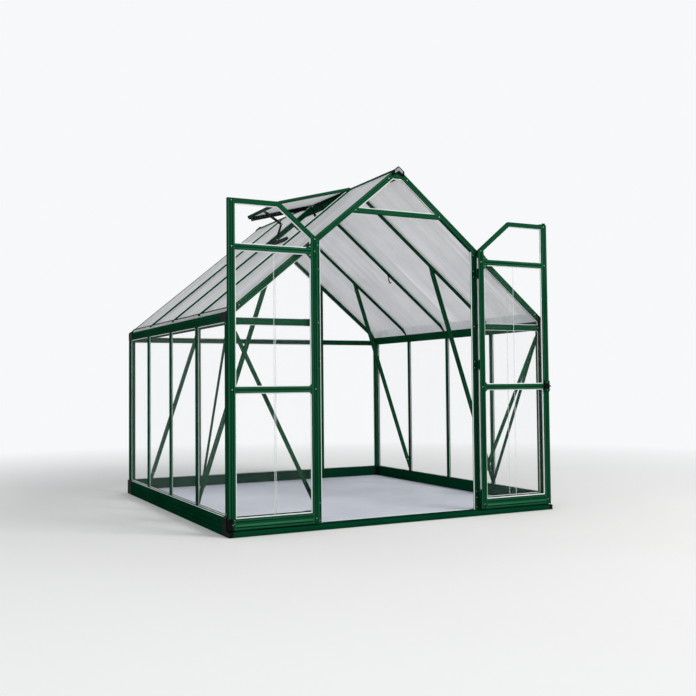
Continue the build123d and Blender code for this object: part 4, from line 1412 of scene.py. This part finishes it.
@dataclass
class GrooveLines(Trim):
    """Painted shade and highlights along the extruded bars: dark inserts in their grooves as painted shade,
    and raised ribs beside them painted lighter as highlights.
    """

    half: float = 0.0018
    depth: Point2 = (-0.0014, -0.0004)
    rib_half: float = 0.0020
    rib_tall: float = 0.0007
    gutter_levels: Point2 = (0.014, 0.030)
    sill_shares: Point2 = (1 / 3, 0.62)
    cap_long: float = 0.112
    sill_cap: float = 0.068
    door_post_ends: Point2 = (0.034, 0.004)
    rake_gaps: Point2 = (0.01, 0.02)

    def line(self, shaper: Shaper, face: Face, start: Point2, end: Point2, rib: bool = False) -> None:
        """One painted-shade insert along a groove, or one raised rib painted as a highlight, level or upright
        in its plane.

        Args:
            shaper: Mesh to add to.
            face: Plane of the bar's face.
            start: Lower end of its centre line.
            end: Upper end.
            rib: Whether it is a raised rib.
        """
        half, out = (self.rib_half, (-SEAT, self.rib_tall)) if rib else (self.half, self.depth)
        du, dv = (0.0, half) if start[1] == end[1] else (half, 0.0)
        shaper.bar(face, (start[0] - du, start[1] - dv), (end[0] + du, end[1] + dv), out, 0.0002)

    def leaf(self, side: Side) -> None:
        """Painted-shade inserts and painted-highlight ribs of one leaf, on both faces.

        Args:
            side: Which leaf.
        """
        grooves, ribs, s = Shaper(), Shaper(), side.value
        inner, outer = PLAN.leaf_pane
        hung, tall, foot = (PLAN.leaf[0], inner), (outer, PLAN.leaf[1]), (PLAN.leaf_low, PLAN.bottom_rail)
        rails = (PLAN.mid_rail, PLAN.high_rail)
        uprights = within(hung, (0.3, 0.62)) + within(tall, (0.3, 0.62))
        levels = within(foot, (0.25, 0.5, 0.75)) + [z for rail in rails for z in within(rail, (0.5,))]
        edges = within(hung, (0.10, 0.90)) + within(tall, (0.12, 0.88))
        lips = within(foot, (0.12, 0.88)) + [z for rail in rails for z in within(rail, (0.20, 0.80))]
        left, right = sorted((s * inner, s * outer))
        rows = ((grooves, uprights, levels, False, 0.0, 0.002), (ribs, edges, lips, True, 0.002, 0.006))
        for face in (Face.end_wall(PLAN.leaf_y[0]), Face.end_wall(PLAN.leaf_y[1], End.REAR)):
            for shaper, xs, zs, rib, low, high in rows:
                for x in xs:
                    self.line(shaper, face, (s * x, PLAN.leaf_low + low), (s * x, PLAN.head_z(x) - high), rib)
                for z in zs:
                    self.line(shaper, face, (left, z), (right, z), rib)
        # The ribs wear the lighter paint as a painted highlight; the groove inserts wear near-black green as
        # painted shade.
        ribs.piece(f"{side.word}_leaf_highlight_ribs", self.finishes.rib, side.leaf)
        grooves.piece(f"{side.word}_leaf_groove_shade", self.finishes.groove, side.leaf)

    def frame(self, side: Side) -> None:
        """Painted-shade inserts and painted-highlight ribs of the posts, rakes, gutters and sills on one
        side.

        Args:
            side: Which side.
        """
        grooves, ribs, s = Shaper(), Shaper(), side.value
        ends = (Face.end_wall(PLAN.front), Face.end_wall(PLAN.rear, End.REAR))
        wall, sill = Face.side_wall(PLAN.side, side), Face.side_wall(PLAN.side + PLAN.sill_out, side)
        corner, (low, high) = (PLAN.eave_in, PLAN.side), (PLAN.sill_top, PLAN.eave_bottom)
        for share in (1 / 3, 2 / 3):
            x = s * within(corner, (share,))[0]
            for face in ends:
                self.line(grooves, face, (x, low), (x, high))
            for y in (PLAN.front + PLAN.post * share, PLAN.rear - PLAN.post * share):
                self.line(grooves, wall, (y, low), (y, high))
        x = s * sum(PLAN.door_post) / 2
        foot, below = self.door_post_ends
        self.line(grooves, ends[0], (x, foot), (x, PLAN.roof_z(x, PLAN.rake) - below))
        ridge, eave = PLAN.ridge_half / PLAN.cosine, PLAN.eave_in / PLAN.cosine - self.rake_gaps[0]
        rows = ((grooves, (0.4, 0.7), self.rake_gaps[0], False),
                (ribs, (0.12, 0.55, 0.90), self.rake_gaps[1], True))
        for shaper, shares, gap, rib in rows:
            for across in (-PLAN.rake * share for share in shares):
                self.line(shaper, Face.rake(side), (ridge + gap, across), (eave, across), rib)
        for z in (high + level for level in self.gutter_levels):
            self.line(grooves, wall, (PLAN.front + self.cap_long, z), (PLAN.rear - self.cap_long, z))
        for z in (low * share for share in self.sill_shares):
            self.line(grooves, sill, (PLAN.front + self.sill_cap, z), (PLAN.rear - self.cap_long, z))
        x = s * sum(corner) / 2
        for face in ends:
            self.line(ribs, face, (x, low), (x, high), True)
        # The ribs wear the lighter paint as a painted highlight; the groove inserts wear near-black green as
        # painted shade.
        ribs.piece(f"{side.word}_frame_highlight_ribs", self.finishes.rib)
        grooves.piece(f"{side.word}_frame_groove_shade", self.finishes.groove)

    def build(self) -> None:
        """Make all painted-shade inserts and painted-highlight ribs."""
        for side in Side:
            self.leaf(side)
            self.frame(side)


@dataclass
class Fasteners(Trim):
    """Screw heads at the joints of the frame, the leaves and the lock."""

    radius: float = 0.0045
    small: float = 0.0032
    tall_x: float = 1.1912
    hung_x: float = 0.6372
    foot_z: float = 0.073
    head_in: Point2 = (0.015, 0.016)
    leaf_ear: float = 0.010
    shoe: tuple[Point2, ...] = ((-1.180, 0.100), (-1.180, 0.078))
    lock: tuple[Point2, ...] = ((1.193, 0.853), (1.193, 0.911))
    lever: tuple[Point3, ...] = ((1.174, 0.0024, 0.0048), (1.196, 0.0016, 0.0032))
    wall_foot: float = 0.130
    door_foot: float = 0.052
    wall_ear: float = 0.011
    rake_in: float = 0.014
    level_in: float = 0.012
    rake_x: Point2 = (1.130, 0.070)
    header_x: float = 0.322
    ridge_cap: Point2 = (0.026, 2.322)
    hinge_plate: Point3 = (0.597, 0.0025, 0.021)
    side_foot: float = 0.132
    below_eave: float = 0.018
    tie_spots: tuple[Point2, ...] = ((0.652, 1.735), (1.166, 0.222))
    tie_half: float = 0.009
    side_brace: tuple[Point2, ...] = ((-1.180, 1.262), (-0.640, 0.150))
    side_brace_x: float = 1.1877
    front_brace: tuple[Point2, ...] = ((0.630, 0.156), (1.148, 1.246))
    front_brace_y: float = -1.2187
    cover: Point3 = (0.009, 0.0100, 0.0016)
    cover_v: Point2 = (0.10, 1.50)

    def put(self, shaper: Shaper, places: Iterable[Point3], out: Point3, radius: float) -> None:
        """Add screws that face one way.

        Args:
            shaper: Mesh to add to.
            places: Centres of their feet.
            out: Direction of the heads.
            radius: Radius of the heads.
        """
        for place in places:
            shaper.screw(Vector(place), Vector(out), radius, radius * 0.5)

    def leaf(self, side: Side) -> None:
        """Screws of one leaf: both faces of its frame, its ears, and its shoe or lock.

        Args:
            side: Which leaf.
        """
        shaper, s, y = Shaper(), side.value, PLAN.leaf_y[0]
        tall, hung = s * self.tall_x, s * self.hung_x
        levels = (self.foot_z, sum(PLAN.mid_rail) / 2, sum(PLAN.high_rail) / 2)
        spots = [(x, z) for x in (tall, hung) for z in levels]
        spots += [(tall, PLAN.leaf_top - self.head_in[0]), (hung, PLAN.head_z(hung, self.head_in[1]))]
        for face_y, out in zip(PLAN.leaf_y, (FRONTWARD, REARWARD)):
            self.put(shaper, [(x, face_y, z) for x, z in spots], out, self.radius)
        ear, (low, high) = s * (PLAN.leaf_pane[0] + self.leaf_ear), PLAN.high_rail
        ears = (low - self.leaf_ear, high + self.leaf_ear)
        self.put(shaper, [(ear, y, z) for z in ears], FRONTWARD, self.radius)
        more, face_y = (self.shoe, y) if side is Side.LEFT else (self.lock, y - PLAN.lock_thick)
        self.put(shaper, [(x, face_y, z) for x, z in more], FRONTWARD, self.small)
        shaper.piece(f"{side.word}_leaf_screws", self.finishes.steel, side.leaf)

    def pivots(self) -> None:
        """Bright pivot and set screw of the lever."""
        shaper, (y, z) = Shaper(), PLAN.lever
        for x, sunk, radius in self.lever:
            self.put(shaper, [(x, y + sunk, z)], FRONTWARD, radius)
        shaper.piece("lever_screws", self.finishes.steel, Body.LEVER)

    def end_wall(self, end: End) -> None:
        """Screws of the front or the rear wall.

        Args:
            end: Which wall.
        """
        shaper, front, out = Shaper(), end is End.FRONT, (0, end.value, 0)
        y = PLAN.front if front else PLAN.rear
        post = sum(PLAN.door_post if front else PLAN.mullion) / 2
        corner, level = PLAN.eave_in + PLAN.post / 2, sum(PLAN.transom) / 2
        right = [(post, PLAN.roof_z(post, PLAN.rake + self.rake_in)),
                 (post, self.door_foot if front else self.wall_foot), (post, level),
                 (PLAN.eave_in - self.level_in, level), (corner, self.wall_foot),
                 (corner, PLAN.eave_bottom - self.below_eave)]
        right += [(x, PLAN.roof_z(x, PLAN.rake / 2)) for x in self.rake_x]
        if front:
            ear = PLAN.door_post[1] + self.wall_ear
            right += [(ear, PLAN.transom[0] - self.wall_ear), (ear, PLAN.transom[1] + self.wall_ear),
                      (self.header_x, sum(PLAN.header) / 2)]
        self.put(shaper, [(side.value * x, y, z) for side in Side for x, z in right], out, self.radius)
        if front:
            x, z = self.ridge_cap
            self.put(shaper, [(side.value * x, y - PLAN.ridge_cap, z) for side in Side], out, self.small)
            x, proud, reach = self.hinge_plate
            self.put(shaper, [(side.value * x, y - proud, z + up) for side in Side for z in PLAN.hinges
                              for up in (-reach, reach)], out, self.radius)
        shaper.piece(f"{end.name.lower()}_wall_screws", self.finishes.steel)

    def side_wall(self, side: Side) -> None:
        """Screws of one side: posts, studs, ties, braces and rafter covers.

        Args:
            side: Which side.
        """
        shaper, s = Shaper(), side.value
        out, ends = (s, 0, 0), (self.side_foot, PLAN.eave_bottom - self.below_eave)
        posts = (PLAN.front + PLAN.post / 2, PLAN.rear - PLAN.post / 2)
        self.put(shaper, [(s * PLAN.side, y, z) for y in posts for z in ends], out, self.radius)
        self.put(shaper, [(s * PLAN.stud_out, y, z) for y in PLAN.studs for z in ends], out, self.small)
        for y in PLAN.outer_studs:
            for x, z in self.tie_spots:
                self.put(shaper, [(s * x, y - self.tie_half, z)], FRONTWARD, self.radius)
                self.put(shaper, [(s * x, y + self.tie_half, z)], REARWARD, self.radius)
        self.put(shaper, [(s * self.side_brace_x, y, z) for y, z in self.side_brace], (-s, 0, 0), self.small)
        self.put(shaper, [(s * x, self.front_brace_y, z) for x, z in self.front_brace], REARWARD, self.small)
        slope, (aside, up, tall) = Face.slope(side), self.cover
        for y in PLAN.studs:
            for v in self.cover_v:
                shaper.screw(slope.at(y + aside, v, up), slope.out, self.small, tall)
        shaper.piece(f"{side.word}_side_screws", self.finishes.steel)

    def build(self) -> None:
        """Make all screws."""
        for side in Side:
            self.leaf(side)
            self.side_wall(side)
        for end in End:
            self.end_wall(end)
        self.pivots()


@dataclass
class EntranceTrim(Trim):
    """The doorway's pale strips and mouldings, pale beads on the side sills painted as highlights, eave
    linings painted lighter as light through the sheet, lock plates, a grey ridge plate painted as a
    highlight, and the caps' ribs.
    """

    jamb: float = 0.006
    jamb_y: Point2 = (-1.236, -1.232)
    jamb_foot: float = 0.034
    jamb_top: float = 0.004
    threshold_y: Point2 = (-1.196, -1.187)
    threshold_tall: float = 0.0035
    bead: Point2 = (0.004, 0.0025)
    bead_ends: Point2 = (0.070, 0.112)
    under_sheet: float = 0.0102
    lining_low: float = 1.350
    lining_in: float = 0.040
    lining_end: float = 0.001
    foot_drop: Point2 = (0.004, 0.024)
    lip_low: float = 1.285
    lip_over: float = 0.0005
    lip_out: Point2 = (-0.0035, 0.0100)
    moulding: Point2 = (0.008, 0.020)
    moulding_out: Point2 = (0.0080, 0.0060)
    moulding_back: float = -0.0118
    plate_levels: tuple[Point2, Point2] = ((0.847, 0.863), (0.901, 0.917))
    plate_in: float = 0.003
    plate_tall: float = 0.0012
    ridge_plate: tuple[Point2, ...] = ((0.0, 2.336), (0.026, 2.318), (0.030, 2.334), (0.004, 2.356),
                                       (-0.004, 2.356), (-0.030, 2.334), (-0.026, 2.318))
    cap_rib: Point3 = (0.006, 0.012, 0.088)
    cap_pitch: float = 0.024
    cap_starts: Point2 = (-0.030, -0.096)
    gutter_out: float = 0.002
    gutter_levels: Point2 = (1.314, 1.342)
    gutter_rib: Point2 = (0.098, 0.005)
    gutter_starts: Point2 = (0.006, -0.104)

    def pale(self) -> None:
        """Jamb seals, threshold strip, and pale beads on the side sills' ledges that are a painted highlight
        of the ledge.
        """
        shaper, inner = Shaper(), PLAN.door_post[0]
        top = PLAN.roof_z(inner, PLAN.rake) - self.jamb_top
        wide, tall = self.bead
        for side in Side:
            shaper.bar(Face.side_wall(inner, side), (self.jamb_y[0], self.jamb_foot), (self.jamb_y[1], top),
                       (-self.jamb, SEAT), 0.0006)
            # Painted highlight: a pale bead along each side sill's ledge, where light catches it.
            near, far = PLAN.front + self.bead_ends[0], PLAN.rear - self.bead_ends[1]
            shaper.bar(Face.side_wall(PLAN.side, side), (near, PLAN.sill_top - SEAT),
                       (far, PLAN.sill_top + tall), (0.0, wide))
        floor = Face.of((0, 0, PLAN.kerb_top), (1, 0, 0), (0, 1, 0), (0, 0, 1))
        shaper.bar(floor, (-inner, self.threshold_y[0]), (inner, self.threshold_y[1]),
                   (-SEAT, self.threshold_tall))
        shaper.piece("entrance_strips", self.finishes.strip)

    def eave_lining(self) -> None:
        """Pale lining where the sheets meet each eave, painted lighter than its shade under the gutter to
        stand in for light through the sheet, rafter feet over it, and a lip below.
        """
        lining, trim = Shaper(), Shaper()
        x, back, low = PLAN.eave_in, PLAN.eave_in - self.lining_in, self.lining_low
        over, under = PLAN.roof_z(x, self.under_sheet), PLAN.roof_z(back, self.under_sheet)
        drop, deep = self.foot_drop
        outline = [(x, low), (x, over), (back, under)]
        foot = [(x, low - drop), (x, over), (back, under), (back, under - deep)]
        for side in Side:
            plane = Face.section(side)
            for a, b in PLAN.bays(PLAN.rafter_half, PLAN.rake):
                lining.prism(plane, outline, a + self.lining_end, b - self.lining_end)
            for y in PLAN.studs:
                trim.prism(plane, foot, y - PLAN.rafter_half, y + PLAN.rafter_half)
            trim.bar(Face.side_wall(x, side), (PLAN.front + PLAN.post, self.lip_low),
                     (PLAN.rear - PLAN.post, PLAN.eave_bottom + self.lip_over), self.lip_out, 0.0012)
        # The lining's pale tone is partly the sheet's own and partly painted light against the gutter's
        # shade.
        lining.piece("eave_linings", self.finishes.lining)
        trim.piece("eave_inner_trim", self.finishes.green)

    def post_mouldings(self) -> None:
        """Moulding and pale seal on each door post's outer side, behind the open leaf."""
        green, pale, face = Shaper(), Shaper(), Face.end_wall(PLAN.front)
        start = PLAN.door_post[1]
        middle, stop = (start + wide for wide in self.moulding)
        levels = ((PLAN.sill_top, PLAN.transom[0]), (PLAN.transom[1], PLAN.roof_z(stop, PLAN.rake)))
        rows = ((green, start - SEAT, middle, self.moulding_out[0]),
                (pale, middle, stop, self.moulding_out[1]))
        for side in Side:
            for low, high in levels:
                for shaper, a, b, out in rows:
                    left, right = sorted((side.value * a, side.value * b))
                    shaper.bar(face, (left, low), (right, high), (self.moulding_back, out))
        green.piece("door_post_mouldings", self.finishes.green)
        pale.piece("door_post_seals", self.finishes.strip)

    def plates(self) -> None:
        """Green plates over the lock case and a grey plate on the front ridge cap, a painted highlight of the
        glossy cap.
        """
        lock, cap = Shaper(), Shaper()
        face = Face.end_wall(PLAN.leaf_y[0] - PLAN.lock_thick)
        for low, high in self.plate_levels:
            lock.bar(face, (PLAN.leaf_pane[1] + self.plate_in, low), (PLAN.leaf[1] - self.plate_in, high),
                     (-SEAT, self.plate_tall), 0.0004)
        lock.piece("lock_plates", self.finishes.green, Body.RIGHT_LEAF)
        # Painted highlight: the grey chevron stands in for the reflection on the black ridge cap.
        cap.prism(Face.end_wall(PLAN.front - PLAN.ridge_cap), self.ridge_plate, -SEAT, self.plate_tall)
        cap.piece("ridge_cap_glint_plate", self.finishes.cap_glint_plate)

    def ribs(self) -> None:
        """Ribs on the corner caps and the gutter caps."""
        shaper, (wide, low, high) = Shaper(), self.cap_rib
        long, thick = self.gutter_rib
        for side in Side:
            cap = Face.side_wall(PLAN.side + PLAN.sill_out, side)
            for y in (PLAN.front + self.cap_starts[0], PLAN.rear + self.cap_starts[1]):
                for along in (y + self.cap_pitch * number for number in range(4)):
                    shaper.bar(cap, (along, low), (along + wide, high), (-0.0014, -SEAT), 0.0005)
            gutter = Face.side_wall(PLAN.side + self.gutter_out, side)
            for start in (PLAN.front + self.gutter_starts[0], PLAN.rear + self.gutter_starts[1]):
                for z in self.gutter_levels:
                    shaper.bar(gutter, (start, z), (start + long, z + thick), (-SEAT, self.plate_tall),
                               0.0005)
        shaper.piece("cap_ribs", self.finishes.black)

    def build(self) -> None:
        """Make the doorway's, the eaves' and the caps' trim."""
        self.pale()
        self.eave_lining()
        self.post_mouldings()
        self.plates()
        self.ribs()


# Stage

@dataclass(frozen=True)
class Lamp:
    """One soft square area lamp."""

    name: str
    at: Point3
    size: float
    power: float
    colour: Colour

    def build(self, aim: Point3) -> None:
        """Add the lamp, facing a point.

        Args:
            aim: The point it faces.
        """
        data = bpy.data.lights.new(self.name, "AREA")
        data.shape = "SQUARE"
        data.size = self.size
        data.energy = self.power
        data.color = self.colour
        lamp = bpy.data.objects.new(self.name, data)
        lamp.location = self.at
        lamp.rotation_euler = (Vector(aim) - Vector(self.at)).to_track_quat("-Z", "Y").to_euler()
        bpy.context.scene.collection.objects.link(lamp)


@dataclass
class Studio:
    """Camera, floor, surroundings and lamps."""

    focal_px: float = 899.513
    frame_px: float = 696.0
    sensor: float = 36.0
    eye: Point3 = (-3.01491, -6.42311, 0.91632)
    yaw: float = 0.46909
    pitch: float = 0.03900
    roll: float = -0.00952
    ground: StageGround = field(default_factory=StageGround)
    ground_radius: float = 60.0
    ground_z: float = -0.001
    sky: Colour = (0.96, 0.98, 1.0)
    sky_strength: float = 0.62
    aim: Point3 = (0.0, 0.0, 1.0)
    lamps: tuple[Lamp, ...] = (Lamp("key", (4.5, -8.0, 7.5), 4.0, 640.0, (1.0, 0.98, 0.95)),
                               Lamp("fill", (-8.0, -3.0, 4.5), 5.0, 90.0, (0.95, 0.98, 1.0)))

    def camera(self) -> None:
        """Place the camera at the photograph's viewpoint."""
        data = bpy.data.cameras.new("camera")
        data.sensor_width = self.sensor
        data.lens = self.focal_px * self.sensor / self.frame_px
        level = math.cos(self.pitch)
        look = Vector((math.sin(self.yaw) * level, math.cos(self.yaw) * level, math.sin(self.pitch)))
        right = Vector((math.cos(self.yaw), -math.sin(self.yaw), 0.0))
        up = right.cross(look)
        right_turned = right * math.cos(self.roll) + up * math.sin(self.roll)
        up_turned = up * math.cos(self.roll) - right * math.sin(self.roll)
        turn = Matrix((right_turned, up_turned, -look)).transposed()
        camera = bpy.data.objects.new("camera", data)
        camera.matrix_world = Matrix.Translation(Vector(self.eye)) @ turn.to_4x4()
        bpy.context.scene.collection.objects.link(camera)
        bpy.context.scene.camera = camera

    def floor(self) -> None:
        """Add the pale stage floor."""
        shaper = bmesh.new()
        bmesh.ops.create_circle(shaper, cap_ends=True, segments=64, radius=self.ground_radius)
        data = bpy.data.meshes.new("stage_floor")
        shaper.to_mesh(data)
        shaper.free()
        data.materials.append(self.ground.build())
        floor = bpy.data.objects.new("stage_floor", data)
        floor.location.z = self.ground_z
        bpy.context.scene.collection.objects.link(floor)

    def surroundings(self) -> None:
        """Soft even light from the world, shown as near white."""
        world = bpy.data.worlds.new("studio")
        bpy.context.scene.world = world
        sheet = Sheet(world, "ShaderNodeOutputWorld")
        shown = sheet.node("ShaderNodeBackground", {"Color": (*self.ground.far, 1.0)})
        light = sheet.node("ShaderNodeBackground", {"Color": (*self.sky, 1.0), "Strength": self.sky_strength})
        sheet.mix(sheet.seen(), light.outputs["Background"], shown.outputs["Background"])

    def build(self) -> None:
        """Make the camera, the floor and the light."""
        bpy.context.scene.view_settings.view_transform = "Standard"
        self.camera()
        self.floor()
        self.surroundings()
        for lamp in self.lamps:
            lamp.build(self.aim)


def main() -> None:
    """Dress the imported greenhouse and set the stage."""
    logging.basicConfig(level=logging.INFO, format="%(name)s: %(message)s")
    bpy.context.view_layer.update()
    finishes = Finishes()
    Studio().build()
    for kind in (PackedNodes, Glazing, RoofTrim, DoorTrim, WallStuds, BraceSleeves, GrooveLines, Fasteners,
                 EntranceTrim):
        kind(finishes).build()


if __name__ == "__main__":
    main()
